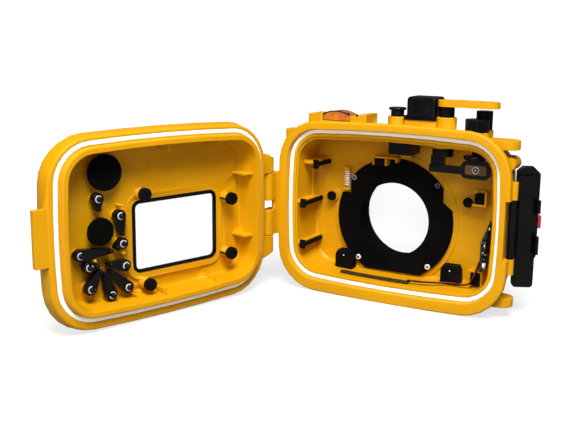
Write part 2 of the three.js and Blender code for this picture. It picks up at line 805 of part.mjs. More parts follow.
function shellKnuckle(span) {
  const side = -(seal.width / 2 + seal.bowX + shell.rimGrow);
  const shape = polygon([
    [hinge.x - hinge.barrel, hinge.y],
    [hinge.x - hinge.barrel, shell.rimFace + overrun],
    [side + embed * 2, shell.rimBack - embed],
    [side + embed * 2, shell.rimFace + embed],
    [side - embed, shell.rimFace + embed],
    [hinge.x + hinge.barrel, hinge.y],
  ]);
  return union(slab('z', shape, span), rod('z', [hinge.x, hinge.y], hinge.barrel, span, 24));
}

// The wall between the shell's two knuckles, which leaves the middle of the hinge open
function hingeWeb() {
  const span = [knuckle.shellLow[1] - embed, knuckle.shellHigh[0] + embed];
  const edge = hinge.x + hinge.web;
  const front = hinge.y + hinge.webFront;
  const web = block([edge, edge + hinge.barrel * 2], [front, shell.rimBack + overrun], span);
  return shellKnuckle(span).intersect(web);
}

function hingePinSpans() {
  return [
    [knuckle.doorLow[0] + hinge.pinOver, knuckle.shellLow[1] - hinge.pinShort],
    [knuckle.shellHigh[0] + hinge.pinShort, knuckle.doorHigh[1] - hinge.pinOver],
  ];
}

// The lower bore is open below and the upper one above, as the pins go in from the ends
function hingeBores() {
  const [low, high] = hingePinSpans();
  return union(
    rod('z', [hinge.x, hinge.y], hinge.pin + gap, [low[0] - overrun, low[1] + gap], 16),
    rod('z', [hinge.x, hinge.y], hinge.pin + gap, [high[0] - gap, high[1] + overrun], 16),
  );
}

function stemPlace() {
  return [mid([shoe.left, contact.right]), mid([contact.front, contact.back])];
}

function shaftBores() {
  const top = [midZ, shoe.high];
  return union(
    rod('z', [topButton.x, topButton.y], topButton.shaft + gap, top, 20),
    rod('z', stemPlace(), contact.stem + gap, top, 16),
    rod('z', [trigger.x, trigger.y], trigger.shaft + gap, top, 20),
    rod('z', [dial.x, dial.y], dial.shaft + gap, top, 20),
    rod('z', [zoom.x, zoom.y], zoom.shaft + gap, top, 20),
  );
}

function screwPlaces() {
  return [
    [port.x - plateScrew.highX, port.z + plateScrew.high],
    [port.x + plateScrew.highX, port.z + plateScrew.high],
    [port.x - plateScrew.lowX, port.z - plateScrew.low],
    [port.x + plateScrew.lowX, port.z - plateScrew.low],
  ];
}

function makeFrontShell() {
  const through = past(port.padFront, shell.front);
  const padSpan = past(port.padFront, port.plateBack + gap);
  const hull = union(shellBody(), outerFittings(), latchLug(latch.lugLow), latchLug(latch.lugHigh));
  const hollow = hull.subtract(shellCavity()).subtract(lipRecess()).subtract(sealGroove(shellSeal, 0, 1));
  const fitted = union(
    hollow,
    interiorFittings(),
    innerBosses(),
    shellKnuckle(knuckle.shellLow),
    shellKnuckle(knuckle.shellHigh),
    hingeWeb(),
  );
  const rimEdge = sealRight + seal.bowX + shell.rimGrow;
  const cuts = union(
    rod('y', [port.x, port.z], port.tube + port.tubeWall + gap, through, 40),
    shaftBores(),
    hingeBores(),
    block(
      [rimEdge - rimNotch, rimEdge + overrun],
      [shell.rimFace - overrun, shell.rimBack + gap],
      [latch.armLow, latch.armHigh],
    ),
    rod('z', [latch.x, latch.y], latch.pin + gap, latchPivotSpan(gap), 16),
    rod('z', [port.x, (base.front + base.back) / 2], base.hole, [-overrun, base.holeDeep], 16),
    screwPlaces().map((at) => rod('y', at, plateScrew.bore + gap, padSpan, 12)),
  );
  return piece('front_shell', fitted.subtract(cuts).subtract(underFloor()), yellowPlastic);
}

// Port

function plateShape() {
  const shape = new THREE.Shape();
  const angleAt = (dx, dz) => Math.atan2(dz, dx);
  const flatHalf = Math.sqrt(port.plate ** 2 - port.flatBelow ** 2);
  const notchRise = Math.sqrt(port.plate ** 2 - port.notchX ** 2);
  const notchOut = Math.sqrt(port.plate ** 2 - port.notchZ ** 2);
  const cutRise = Math.sqrt(port.plate ** 2 - port.cutX ** 2);
  const footRise = Math.sqrt(port.plate ** 2 - port.cutOut ** 2);
  const [x, z] = [port.x, port.z];
  shape.moveTo(x - flatHalf, z - port.flatBelow);
  shape.lineTo(x + flatHalf, z - port.flatBelow);
  shape.absarc(x, z, port.plate, angleAt(flatHalf, -port.flatBelow), angleAt(port.cutOut, footRise));
  shape.lineTo(x + port.cutOut, z + port.cutFoot);
  shape.lineTo(x + port.cutX, z + port.cutLow);
  shape.absarc(x, z, port.plate, angleAt(port.cutX, cutRise), angleAt(-port.notchX, notchRise));
  shape.lineTo(x - port.notchX, z + port.notchZ);
  const start = angleAt(-notchOut, port.notchZ);
  shape.absarc(x, z, port.plate, start, angleAt(-flatHalf, -port.flatBelow) + Math.PI * 2);
  return shape;
}

function makePort() {
  const plateFront = port.plateBack - port.plateThick;
  const middle = [port.x, port.z];
  const recess = [plateFront - overrun, plateFront + plateScrew.recess];
  const heads = screwPlaces().map((at) => rod('y', at, plateScrew.head + gap, recess, 16));
  const through = past(plateFront, port.plateBack);
  const bores = screwPlaces().map((at) => rod('y', at, plateScrew.bore + gap, through, 12));
  const plate = slab('y', plateShape(), [plateFront, port.plateBack], 12)
    .subtract(rod('y', middle, port.bore, through, 48))
    .subtract(union(heads, bores));
  const tubeOut = port.tube + port.tubeWall;
  const barrel = union(
    rod('y', middle, tubeOut, [port.plateBack + gap, port.tubeEnd], 40),
    rod('y', middle, port.bezel, along(shell.front + gap, port.bezelThick), 40),
  )
    .subtract(rod('y', middle, port.tube, past(port.plateBack, port.tubeEnd), 40))
    .subtract(rod('y', middle, port.tube + port.ledge + gap, [port.glassBack, port.tubeEnd + overrun], 40));
  const glass = rod('y', middle, port.tube + port.ledge, along(port.glassBack + gap, port.glass), 40);
  const screws = screwPlaces().map((at, index) => {
    const head = rod('y', at, plateScrew.head, along(plateFront - gap, plateScrew.recess), 14);
    const shank = rod('y', at, plateScrew.bore, [plateFront, port.plateBack + overrun], 10);
    const socket = rod('y', at, plateScrew.socket, [plateFront - overrun, plateFront], 6);
    return piece(`plate_screw_${index + 1}`, union(head, shank).subtract(socket), chrome);
  });
  return [
    piece('port_plate', plate, blackPlastic),
    piece('port_barrel', barrel, blackPlastic),
    piece('port_glass', glass, clearPlastic),
    ...screws,
  ];
}

// Coil spring: one unbroken wire round its peg, its own turns kept apart
function makeCoil() {
  const steps = coilTurns * coilStepsPerTurn;
  const centres = [];
  for (let step = 0; step <= steps; step += 1) {
    const angle = step / coilStepsPerTurn * Math.PI * 2;
    const z = coil.low + coil.wire + (coil.high - coil.low - coil.wire * 2) * step / steps;
    const out = new THREE.Vector3(Math.cos(angle), Math.sin(angle), 0);
    centres.push(new THREE.Vector3(coil.x, coil.y, z).addScaledVector(out, coil.radius));
  }
  const rings = centres.map((centre, step) => {
    const angle = step / coilStepsPerTurn * Math.PI * 2;
    const out = new THREE.Vector3(Math.cos(angle), Math.sin(angle), 0);
    return Array.from({ length: coilSides }, (_, side) => {
      const turn = side / coilSides * Math.PI * 2;
      const point = centre.clone().addScaledVector(out, coil.wire * Math.cos(turn));
      return [point.x, point.y, point.z + coil.wire * Math.sin(turn)];
    });
  });
  let least = Infinity;
  centres.forEach((one, index) => {
    centres.slice(index + coilStepsPerTurn / 2).forEach((other) => {
      least = Math.min(least, one.distanceTo(other) - coil.wire * 2);
    });
  });
  console.log(`plate_spring: least gap to itself ${least.toFixed(2)} mm`);
  return piece('plate_spring', toSolid(skin(rings, false)), chrome);
}

// Pads, blocks and the leak strip inside the shell

function leakStrip() {
  const steps = 6;
  const long = strip.right - strip.left;
  const places = Array.from({ length: steps + 1 }, (_, step) => strip.left + long * step / steps);
  const under = places.map((x) => [x, floorHeight(x) + gap]);
  const over = under.map(([x, z]) => [x, z + strip.thick]).reverse();
  return slab('y', polygon([...under, ...over]), [strip.front, strip.back]);
}

function makePads() {
  const roundPiece = (at) => rod('y', at, roundPad.radius, along(roundPad.front, roundPad.thick), 20);
  const foot = (x) => {
    const left = x - footBlock.width / 2;
    const right = x + footBlock.width / 2;
    const low = Math.max(floorHeight(left), floorHeight(right)) + gap;
    const top = low + footBlock.high;
    const shape = polygon([
      [left, low],
      [right, low],
      [right, top - footBlock.bevel],
      [right - footBlock.bevel / 2, top],
      [left + footBlock.bevel / 2, top],
      [left, top - footBlock.bevel],
    ]);
    return slab('y', shape, [footBlock.front, footBlock.back]);
  };
  return [
    piece('pad_left_upper', leftRibPad(ribRow.highZ, ribRow.highReach, ribRow.highStart), blackRubber),
    piece('pad_left_middle', leftRibPad(ribRow.midZ, rib.reach, rib.start), blackRubber),
    piece('pad_left_lower', leftRibPad(ribRow.lowZ, rib.reach, rib.start), blackRubber),
    piece('pad_round_left', roundPiece(roundPads.left), blackRubber),
    piece('pad_round_right', roundPiece(roundPads.right), blackRubber),
    piece('pad_square_right', padBlock(squarePad), blackRubber),
    piece('pad_top', padBlock(topPad), blackRubber),
    piece('pad_corner', padBlock(cornerPad), blackRubber),
    piece('foot_block_left', foot(footBlock.leftX), blackRubber),
    piece('foot_block_right', foot(footBlock.rightX), blackRubber),
    piece('leak_strip', leakStrip(), stripBrown),
  ];
}

function makeSensor() {
  const outline = polygon([
    [board.front, board.low],
    [board.back, board.low],
    [board.back, board.high],
    [board.front + board.cutY, board.high],
    [board.front + board.part, board.high - board.cutZ],
    [board.front, board.high - board.cutZ - board.part],
  ]);
  const face = board.x + board.thick;
  const plate = slab('x', outline, [board.x, face]);
  const parts = [1, 2, 3].map((row) => {
    const z = board.low + (board.high - board.low) * row / 4;
    const y = along(board.front + board.part, board.part * 4);
    return block([face - embed, face + board.part], y, around(z, board.part));
  });
  const stripTop = floorHeight(strip.right) + gap + strip.thick;
  const lead = (name, shift, material) => {
    const lift = stripTop + gap + wire.radius;
    const step = wire.spread;
    const route = [
      [strip.right - step, strip.front + step + shift, lift],
      [strip.right + step * 6, strip.front + step + shift, lift + wire.radius],
      [footBlock.rightX, footBlock.front - step * 2 + shift, lift + wire.radius],
      [cornerPad.x - cornerPad.half, cornerPad.front - step * 2 + shift, lift + step * 2],
      [board.x - step * 2 - shift, cornerPad.front - step * 3 + shift, board.low],
      [board.x - step, board.front + board.part * 3 + shift, board.low + step * 4],
    ].map((point) => new THREE.Vector3(...point));
    const curve = new THREE.CatmullRomCurve3(route, false, 'centripetal');
    const frames = curve.computeFrenetFrames(wireSteps, false);
    const rings = Array.from({ length: wireSteps + 1 }, (_, ring) => {
      const centre = curve.getPointAt(ring / wireSteps);
      return Array.from({ length: wireSides }, (__, side) => {
        const turn = side / wireSides * Math.PI * 2;
        return centre.clone()
          .addScaledVector(frames.normals[ring], wire.radius * Math.cos(turn))
          .addScaledVector(frames.binormals[ring], wire.radius * Math.sin(turn))
          .toArray();
      });
    });
    return piece(name, toSolid(skin(rings, false)), material);
  };
  return [
    piece('sensor_board', union(plate, parts), circuitGreen),
    lead('sensor_wire_red', wire.spread, redInsulation),
    lead('sensor_wire_black', 0, blackRubber),
  ];
}

// Top controls

// The cover on its foot, and below the roof the contact block that hangs from it by a stem
function makeShoe() {
  const middle = [mid([shoe.left, shoe.right]), mid([shoe.front, shoe.back])];
  const wide = shoe.right - shoe.left;
  const deep = shoe.back - shoe.front;
  const ringAt = ([z, inset]) => (
    rectRing(middle, wide - shoe.foot, deep - shoe.foot, shoe.corner, -inset, ({ x, y }) => [x, y, z])
  );
  const rings = [
    [shoe.low, 0],
    [shoe.high - shoe.round, 0],
    [shoe.high - shoe.round / 3, shoe.round / 3],
    [shoe.high, shoe.round],
  ].map(ringAt);
  const sole = roundedRect(middle, wide + shoe.foot, deep + shoe.foot, shoe.corner);
  const foot = slab('z', sole, along(shoe.low, shoe.footHigh));
  const inner = block(
    [contact.left, contact.right],
    [contact.front, contact.back],
    [contact.low, contact.high],
  );
  const stem = rod('z', stemPlace(), contact.stem, [contact.high - embed, shoe.low + embed], 16);
  const room = (part) => (
    rod('z', [part.x, part.y], part.boss + gap, [shoe.low - overrun, part.bossTop + gap], 24)
  );
  const shaftAt = [topButton.x, topButton.y];
  const shaftRoom = rod('z', shaftAt, topButton.shaft + gap, past(contact.low, contact.high), 20);
  const solid = union(toSolid(skin(rings, false)), foot, inner, stem)
    .subtract(room(trigger))
    .subtract(room(topButton))
    .subtract(shaftRoom);
  return piece('shoe_cover', solid, blackPlastic);
}

function makeTopButton() {
  const { x, y } = topButton;
  const neckLow = topButton.bossTop - topButton.boreDeep + topButton.travel + gap;
  const solid = union(
    rod('z', [x, y], topButton.cap, [topButton.capLow, topButton.capTop], 28),
    rod('z', [x, y], topButton.neck, [neckLow, topButton.capLow + embed], 24),
    rod('z', [x, y], topButton.shaft, [topButton.foot, topButton.capLow], 20),
  );
  return piece('top_button', solid, blackPlastic);
}

function makeTrigger() {
  const { x, y } = trigger;
  const left = trigger.hubX - trigger.hub;
  const tip = [x + trigger.length - trigger.tipRound, y];
  const leverShape = barShape([x, y], tip, trigger.hubRound, trigger.tipRound);
  const lever = slab('z', leverShape, along(trigger.low, trigger.thick), 12);
  const stem = along(left, trigger.stemWide);
  const armZ = along(trigger.stemLow, trigger.armHigh);
  const paddleMiddle = [mid([paddle.left, paddle.right]), mid([paddle.low, paddle.high])];
  const paddleShape = roundedRect(
    paddleMiddle,
    paddle.right - paddle.left,
    paddle.high - paddle.low,
    paddle.round,
  );
  const bore = rod(
    'y',
    [paddle.boreX, paddleMiddle[1]],
    paddle.bore,
    [paddle.front - overrun, paddle.front + paddle.thick / 2],
    20,
  );
  const arm = union(
    rod('z', [trigger.hubX, y], trigger.hub, [trigger.hubLow, trigger.hubHigh], 24),
    rod('z', [x, y], trigger.neck, [trigger.bossTop + gap, trigger.low - gap], 24),
    rod('z', [x, y], trigger.shaft, [trigger.hubLow, trigger.low - gap], 20),
    block(stem, along(y - trigger.armThick, trigger.stemDeep), [trigger.stemLow, trigger.hubLow + embed]),
    block(stem, [paddle.front, y], armZ),
    block([left, paddle.left + trigger.armEnd], along(paddle.front, trigger.armThick), armZ),
    slab('y', paddleShape, along(paddle.front, paddle.thick)),
  ).subtract(bore);
  return [piece('shutter_lever', lever, yellowPlastic), piece('shutter_arm', arm, blackPlastic)];
}

function toothedDisc(x, y, radius, span, teeth, depth) {
  const notches = Array.from({ length: teeth }, (_, index) => {
    const angle = index / teeth * Math.PI * 2;
    return rod('z', [x + radius * Math.cos(angle), y + radius * Math.sin(angle)], depth, past(...span), 6);
  });
  return rod('z', [x, y], radius, span, teeth * 2).subtract(union(notches));
}

function makeDials() {
  const turner = union(
    toothedDisc(dial.x, dial.y, dial.radius, [dial.low, dial.high], dialTeeth, dial.teeth),
    rod('z', [dial.x, dial.y], dial.shaft, [dial.wheelHigh - embed, dial.low + embed], 20),
    rod('z', [dial.x, dial.y], dial.wheel, [dial.wheelLow, dial.wheelHigh], 24),
  );
  const knob = union(
    toothedDisc(zoom.x, zoom.y, zoom.radius, [zoom.low, zoom.high], dialTeeth, dial.teeth),
    rod('z', [zoom.x, zoom.y], zoom.shaft, [zoom.foot, zoom.low + embed], 20),
  );
  return [piece('mode_dial', turner, blackPlastic), piece('zoom_knob', knob, blackPlastic)];
}

// Latch, drawn straight out: u runs out from the pivot along +X, v across it along +Y

function latchPoint(u, v) {
  return [latch.x + u, latch.y + v];
}

function latchHook() {
  const height = latch.high - latch.low;
  const wide = latch.plateTo - latch.plateFrom;
  const centre = [latch.x + latch.plateFrom + wide / 2, latch.low + height / 2];
  const thick = [latch.y + latch.plateIn, latch.y + latch.plateOut];
  const plate = slab('y', roundedRect(centre, wide, height, latch.corner), thick, 4);
  const arm = slab('z', polygon([
    latchPoint(-latch.barrel * 0.7, latch.barrel * 0.7),
    latchPoint(latch.barrel * 0.7, -latch.barrel * 0.7),
    latchPoint(latch.plateFrom + latch.barrel, latch.plateIn + embed),
    latchPoint(latch.plateFrom, latch.plateIn + embed),
  ]), [latch.armLow, latch.armHigh]);
  const lip = new THREE.Shape();
  const inner = Math.asin(latch.lipReach / latch.lipIn);
  const outer = Math.asin((latch.plateIn + embed) / latch.lipIn);
  lip.absarc(latch.x, latch.y, latch.lipOut, inner, outer);
  lip.absarc(latch.x, latch.y, latch.lipIn, outer, inner, true);
  const barrel = rod('z', [latch.x, latch.y], latch.barrel, [latch.armLow, latch.armHigh], 20);
  const pivot = rod('z', [latch.x, latch.y], latch.pin, latchPivotSpan(0), 16);
  return union(plate, arm, barrel, pivot, lips.map((span) => slab('z', lip, span)));
}

function latchCover() {
  const outline = polygon([
    latchPoint(cover.from, cover.inner),
    latchPoint(cover.to, cover.inner),
    latchPoint(cover.to, cover.outer - cover.bevel / 2),
    latchPoint(cover.to - cover.bevel / 2, cover.outer),
    latchPoint(cover.from + cover.bevel, cover.outer),
  ]);
  const body = slab('z', outline, [cover.low, cover.high]);
  const left = latch.x + cover.from - overrun;
  const right = latch.x + cover.to;
  const below = polygon([
    [left, cover.low - overrun],
    [right + overrun, cover.low - overrun],
    [right + overrun, cover.low + cover.bevel],
    [right, cover.low + cover.bevel],
    [right - cover.bevel, cover.low],
    [left, cover.low],
  ]);
  const above = polygon([
    [left, cover.high + overrun],
    [left, cover.high - cover.bevel],
    [left + overrun, cover.high - cover.bevel / 2],
    [left + overrun + cover.bevel, cover.high],
    [right - cover.bevel, cover.high],
    [right, cover.high - cover.bevel],
    [right + overrun, cover.high - cover.bevel],
    [right + overrun, cover.high + overrun],
  ]);
  const span = [latch.y + cover.inner - overrun, latch.y + cover.outer + overrun];
  const slot = block(
    [right - lock.deep, right + overrun],
    [latch.y + cover.inner + gap, latch.y + cover.inner + gap * 3 + lock.wide],
    [lock.z - lock.high / 2 - gap, lock.z + lock.high / 2 + lock.travel + gap],
  );
  return body.subtract(slab('y', below, span)).subtract(slab('y', above, span)).subtract(slot);
}

function lockButton() {
  return block(
    [latch.x + cover.to - lock.deep + gap, latch.x + cover.to + lock.proud],
    [latch.y + cover.inner + gap * 2, latch.y + cover.inner + gap * 2 + lock.wide],
    [lock.z - lock.high / 2, lock.z + lock.high / 2],
  );
}

// The latch's pieces, which swing back together to where they rest
function makeLatch() {
  return [
    piece('latch_hook', latchHook(), blackPlastic),
    piece('latch_cover', latchCover(), blackPlastic),
    piece('lock_button', lockButton(), redPlastic),
  ];
}

// Back door, all drawn closed

function doorBody() {
  const step = door.edge;
  const outer = loft([
    [door.back, door.backGrow],
    [door.back + step / 3, door.backGrow + step * 1.5],
    [door.shoulder, door.shoulderGrow],
    [door.belly, door.bellyGrow],
    [door.face - step, door.grow],
    [door.face - step / 3, door.grow - step / 3],
    [door.face, door.grow - step],
  ], drop);
  const lip = loft([
    [door.face - step, door.lipOut],
    [door.lipTop - door.lipEdge, door.lipOut],
    [door.lipTop, door.lipOut - door.lipEdge],
  ]);
  const tray = loft([
    [door.floor, door.wallGrow - door.floorRound],
    [door.floor + door.floorRound, door.wallGrow],
    [door.face, door.lipIn - door.lipEdge],
    [door.lipTop - door.lipEdge, door.lipIn],
    [door.lipTop + overrun, door.lipIn],
  ]);
  return union(outer, lip).subtract(tray);
}

function doorKnuckle(span, slopeSide) {
  const wall = -(seal.width / 2 + seal.bowX + door.grow);
  const shape = polygon([
    [hinge.x, hinge.y - hinge.barrel],
    [wall + embed * 2, hinge.y - hinge.barrel],
    [wall + embed * 2, hinge.y + hinge.barrel],
    [hinge.x, hinge.y + hinge.barrel],
  ]);
  const solid = union(slab('z', shape, span), rod('z', [hinge.x, hinge.y], hinge.barrel, span, 24));
  const end = slopeSide > 0 ? span[1] : span[0];
  const wedge = slab('y', polygon([
    [hinge.x - hinge.barrel - overrun, end - slopeSide * hinge.slope],
    [wall + embed * 2, end],
    [wall + embed * 2, end + slopeSide * overrun],
    [hinge.x - hinge.barrel - overrun, end + slopeSide * overrun],
  ]), [hinge.y - hinge.barrel * 2, hinge.y + hinge.barrel * 2]);
  return solid.subtract(wedge);
}

function doorFins() {
  const halfH = seal.height / 2 + seal.bowZ + door.wallGrow;
  const vertical = fins.map(([x, side]) => {
    const wall = midZ + side * (halfH + embed);
    const z = [wall - side * fin.reach, wall + side * embed];
    return block(around(x, fin.thick / 2), [door.floor - embed, fin.back], z);
  });
  const halfW = seal.width / 2 + seal.bowX + door.wallGrow;
  const sides = sideFins.map((z) => (
    block([-halfW - embed * 2, -halfW + fin.long], [door.floor - embed, fin.back], around(z, fin.thick / 2))
  ));
  return [...vertical, ...sides];
}

function doorFootings() {
  const top = midZ - seal.height / 2 - seal.bowZ - door.grow + embed * 4;
  return doorFeet.map((x) => block(around(x, doorFoot.half), [doorFoot.front, doorFoot.back], [floorZ, top]));
}

function paneMiddle() {
  return [mid([pane.left, pane.right]), mid([pane.low, pane.high])];
}

// The window's outline, moved out by a distance
function paneRect(grow) {
  const wide = pane.right - pane.left + grow * 2;
  const high = pane.high - pane.low + grow * 2;
  return roundedRect(paneMiddle(), wide, high, pane.corner + grow);
}

function makeBackDoor() {
  const catchSolid = block(
    [seal.width / 2 + seal.bowX + door.grow - embed * 2, catchBlock.out],
    [catchBlock.front, catchBlock.back],
    [catchBlock.low, catchBlock.high],
  );
  const bezel = slab('y', paneRect(pane.bezel), [door.floor - embed, door.floor + pane.bezelHigh]);
  const solid = union(
    doorBody(),
    catchSolid,
    bezel,
    doorKnuckle(knuckle.doorLow, -1),
    doorKnuckle(knuckle.doorHigh, 1),
    doorFins(),
    doorFootings(),
    posts.map((at) => rod('y', at, post.radius, [door.floor - embed, post.tip], 20)),
    guidePins.map((at) => rod('y', at, guidePin.radius, [door.floor - embed, guidePin.tip], 10)),
    buttons.map(([at]) => rod('y', at, button.boss, [door.floor - embed, door.floor + button.bossHigh], 12)),
  );
  const through = [door.back - overrun, door.floor + button.bossHigh + overrun];
  const cuts = union(
    slab('y', paneRect(gap), through),
    slab('y', paneRect(pane.wide + gap), [door.back - overrun, pane.step + gap]),
    buttons.map(([at]) => rod('y', at, button.shaft + gap, through, 10)),
    wheels.map(({ at }) => rod('y', at, wheel.shaft + gap, through, 20)),
    hingeBores(),
  );
  const groove = sealGroove(doorSeal, doorSeal.mid, -1);
  return piece('back_door', solid.subtract(cuts).subtract(groove).subtract(underFloor()), yellowPlastic);
}

function makeWindow() {
  const wide = pane.right - pane.left;
  const high = pane.high - pane.low;
  const ringAt = ([y, grow]) => (
    rectRing(paneMiddle(), wide, high, pane.corner, grow, ({ x, y: z }) => [x, y, z])
  );
  const slope = pane.splay / (pane.step - pane.outer);
  const flare = toSolid(skin([
    ringAt([pane.step, -pane.frame]),
    ringAt([pane.outer - overrun, -pane.frame + slope * (pane.step - pane.outer + overrun)]),
  ], false));
  const frame = union(
    slab('y', paneRect(0), [pane.step - embed, pane.inner]),
    slab('y', paneRect(pane.wide), [pane.outer, pane.step]),
  )
    .subtract(slab('y', paneRect(-pane.frame - pane.lip), [pane.outer, pane.inner + overrun]))
    .subtract(slab('y', paneRect(-pane.frame), [pane.outer, pane.inner - pane.ledge]))
    .subtract(flare);
  const glassFront = pane.inner - pane.ledge - gap;
  const glass = slab('y', paneRect(-pane.frame - gap), [glassFront - pane.glass, glassFront]);
  return [piece('window_frame', frame, blackPlastic), piece('window_glass', glass, clearPlastic)];
}

function makeWheel(spec) {
  const knobFront = door.back - wheel.knobGap;
  const knobBack = knobFront - wheel.knobThick;
  const grooves = Array.from({ length: wheelKnobTeeth }, (_, index) => {
    const angle = index / wheelKnobTeeth * Math.PI * 2;
    const at = [spec.at[0] + spec.knob * Math.cos(angle), spec.at[1] + spec.knob * Math.sin(angle)];
    return rod('y', at, wheel.groove, past(knobBack, knobFront), 6);
  });
  const knob = rod('y', spec.at, spec.knob, [knobBack, knobFront], wheelKnobTeeth * 2);
  const solid = union(
    knob.subtract(union(grooves)),
    rod('y', spec.at, wheel.shaft, [knobFront - embed, wheel.inner - embed], 20),
    rod('y', spec.at, spec.disc, [wheel.inner - wheel.discThick, wheel.inner], 28),
  );
  return piece(spec.name, solid, blackPlastic);
}

function makeButtons() {
  return buttons.flatMap(([at, end], index) => {
    const capFront = door.back - button.capGap;
    const shaft = union(
      rod('y', at, button.cap, [capFront - button.capThick, capFront], 16),
      rod('y', at, button.shaft, [capFront - embed, button.tip], 10),
    );
    const armBack = button.armFront - button.armThick;
    const arm = union(
      slab('y', barShape(at, end, button.hub, button.armHalf), [armBack, button.armFront], 3),
      rod('y', end, button.toe, [armBack, button.armFront + button.toeHigh], 6),
    ).subtract(rod('y', at, button.shaft + gap / 2, [armBack - overrun, button.armFront + overrun], 10));
    const name = `button_${index + 1}`;
    return [piece(name, shaft, blackPlastic), piece(`${name}_arm`, arm, blackPlastic)];
  });
}

function makeHingePins() {
  const names = ['hinge_pin_lower', 'hinge_pin_upper'];
  const pins = hingePinSpans().map((span) => rod('z', [hinge.x, hinge.y], hinge.pin, span, 16));
  return pins.map((pin, index) => piece(names[index], pin, chrome));
}

// Assembly

function addShell(group) {
  group.add(
    makeFrontShell(),
    piece('shell_seal', sealRing(shellSeal, 0, 1), creamRubber),
    ...makePort(),
    makeCoil(),
    ...makePads(),
    ...makeSensor(),
    makeShoe(),
    makeTopButton(),
    ...makeTrigger(),
    ...makeDials(),
    piece('flash_window', flashPane(), amberPlastic),
    ...makeHingePins(),
  );
}

// Pieces turned together about an upright axis at x, y
function swung(pieces, x, y, degrees) {
  const contents = new THREE.Group();
  contents.add(...pieces);
  contents.position.set(-x, -y, 0);
  const swing = new THREE.Group();
  swing.add(contents);
  swing.position.set(x, y, 0);
  swing.rotation.z = THREE.MathUtils.degToRad(degrees);
  return swing;
}

function makeDoorPieces() {
  return [
    makeBackDoor(),
    piece('door_seal', sealRing(doorSeal, doorSeal.mid, -1), creamRubber),
    ...makeWindow(),
    ...wheels.map(makeWheel),
    ...makeButtons(),
  ];
}

const housing = new THREE.Group();
housing.name = 'underwater_camera_housing';
addShell(housing);
housing.add(swung(makeLatch(), latch.x, latch.y, latch.restDeg));
housing.add(swung(makeDoorPieces(), hinge.x, hinge.y, -door.openDeg));
housing.position.set(0, -originY, -floorZ);

export default housing;
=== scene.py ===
# The looks of an underwater camera housing that stands open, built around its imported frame.
# Metres. The origin lies under the shell, and the lens looks along +Y.
import math

import bmesh
import bpy
from mathutils import Matrix, Vector
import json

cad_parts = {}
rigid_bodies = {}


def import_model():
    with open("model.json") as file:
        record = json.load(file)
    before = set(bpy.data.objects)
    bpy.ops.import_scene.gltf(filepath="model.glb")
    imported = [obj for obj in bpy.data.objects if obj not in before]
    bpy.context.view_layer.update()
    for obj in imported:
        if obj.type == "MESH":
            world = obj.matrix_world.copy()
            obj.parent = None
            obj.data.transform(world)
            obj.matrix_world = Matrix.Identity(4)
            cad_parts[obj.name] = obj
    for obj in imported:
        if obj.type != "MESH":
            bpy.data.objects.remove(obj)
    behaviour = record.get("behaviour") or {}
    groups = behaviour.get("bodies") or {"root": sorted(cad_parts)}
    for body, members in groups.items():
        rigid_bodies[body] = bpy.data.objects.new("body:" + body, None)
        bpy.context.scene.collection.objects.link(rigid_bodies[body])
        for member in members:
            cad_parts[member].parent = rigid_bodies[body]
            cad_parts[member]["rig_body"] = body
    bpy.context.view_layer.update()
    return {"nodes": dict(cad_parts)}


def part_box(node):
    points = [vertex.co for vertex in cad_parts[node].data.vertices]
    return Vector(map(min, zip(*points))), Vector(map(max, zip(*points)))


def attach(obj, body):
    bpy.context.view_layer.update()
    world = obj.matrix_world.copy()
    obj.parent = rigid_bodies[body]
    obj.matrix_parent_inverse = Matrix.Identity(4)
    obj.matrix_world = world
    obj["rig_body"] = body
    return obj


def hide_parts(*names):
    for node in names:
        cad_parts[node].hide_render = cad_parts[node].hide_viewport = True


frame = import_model()
nodes = frame["nodes"]
scene = bpy.context.scene

# Scale of the drawing
MM = 0.001

# Camera, fitted to the outlines of the shell and the door
EYE = (0.2000, -0.4926, 0.1681)
AZIMUTH_DEG = 28.513
ELEVATION_DEG = 10.894
ROLL_DEG = 0.752
LENS_MM = 53.06
SENSOR_MM = 36.0
SHIFT = (-0.03056, -0.03093)
CLIP_START = 0.01

# Frame of the part's drawing: its seal plane and floor, and the swing of the door
ORIGIN_Y = 12 * MM
FLOOR_Z = 1.1 * MM
HINGE_X = -82.5 * MM
HINGE_Y = -9.25 * MM
DOOR_OPEN_DEG = 108.0

# Rounded edges: their radius, the angle that counts as sharp, and their share of the room beside them
EDGE_ROUND = 0.45 * MM
EDGE_SHARP = math.radians(32.0)
EDGE_SHARE = 0.38
EDGE_STEPS = 2
# Nodes whose crowded edges would push a full rounding past the solid
CROWDED = ("latch_hook", "port_plate", "shutter_arm")
CROWDED_ROUND = 0.12 * MM

# Corners closer than this are one, and places are compared to this many digits
WELD = 0.002 * MM
PLACE_DIGITS = 7


# Places

def at(x, y, z):
    """A point of the drawing, in millimetres, as a point of the row frame."""
    return Vector((x * MM, y * MM - ORIGIN_Y, z * MM - FLOOR_Z))


def door_at(x, y, z):
    """The same for a point of the door, which the drawing shows closed."""
    swing = math.radians(-DOOR_OPEN_DEG)
    dx = x * MM - HINGE_X
    dy = y * MM - HINGE_Y
    turned_x = HINGE_X + dx * math.cos(swing) - dy * math.sin(swing)
    turned_y = HINGE_Y + dx * math.sin(swing) + dy * math.cos(swing)
    return Vector((turned_x, turned_y - ORIGIN_Y, z * MM - FLOOR_Z))


# Directions: TO_EYE points out of the shell's mouth, and DOOR_IN points out of the door's tray
TO_LENS = Vector((0, 1, 0))
TO_EYE = -TO_LENS
TO_RIGHT = Vector((1, 0, 0))
UP = Vector((0, 0, 1))
DOOR_IN = (door_at(0, 1, 0) - door_at(0, 0, 0)).normalized()


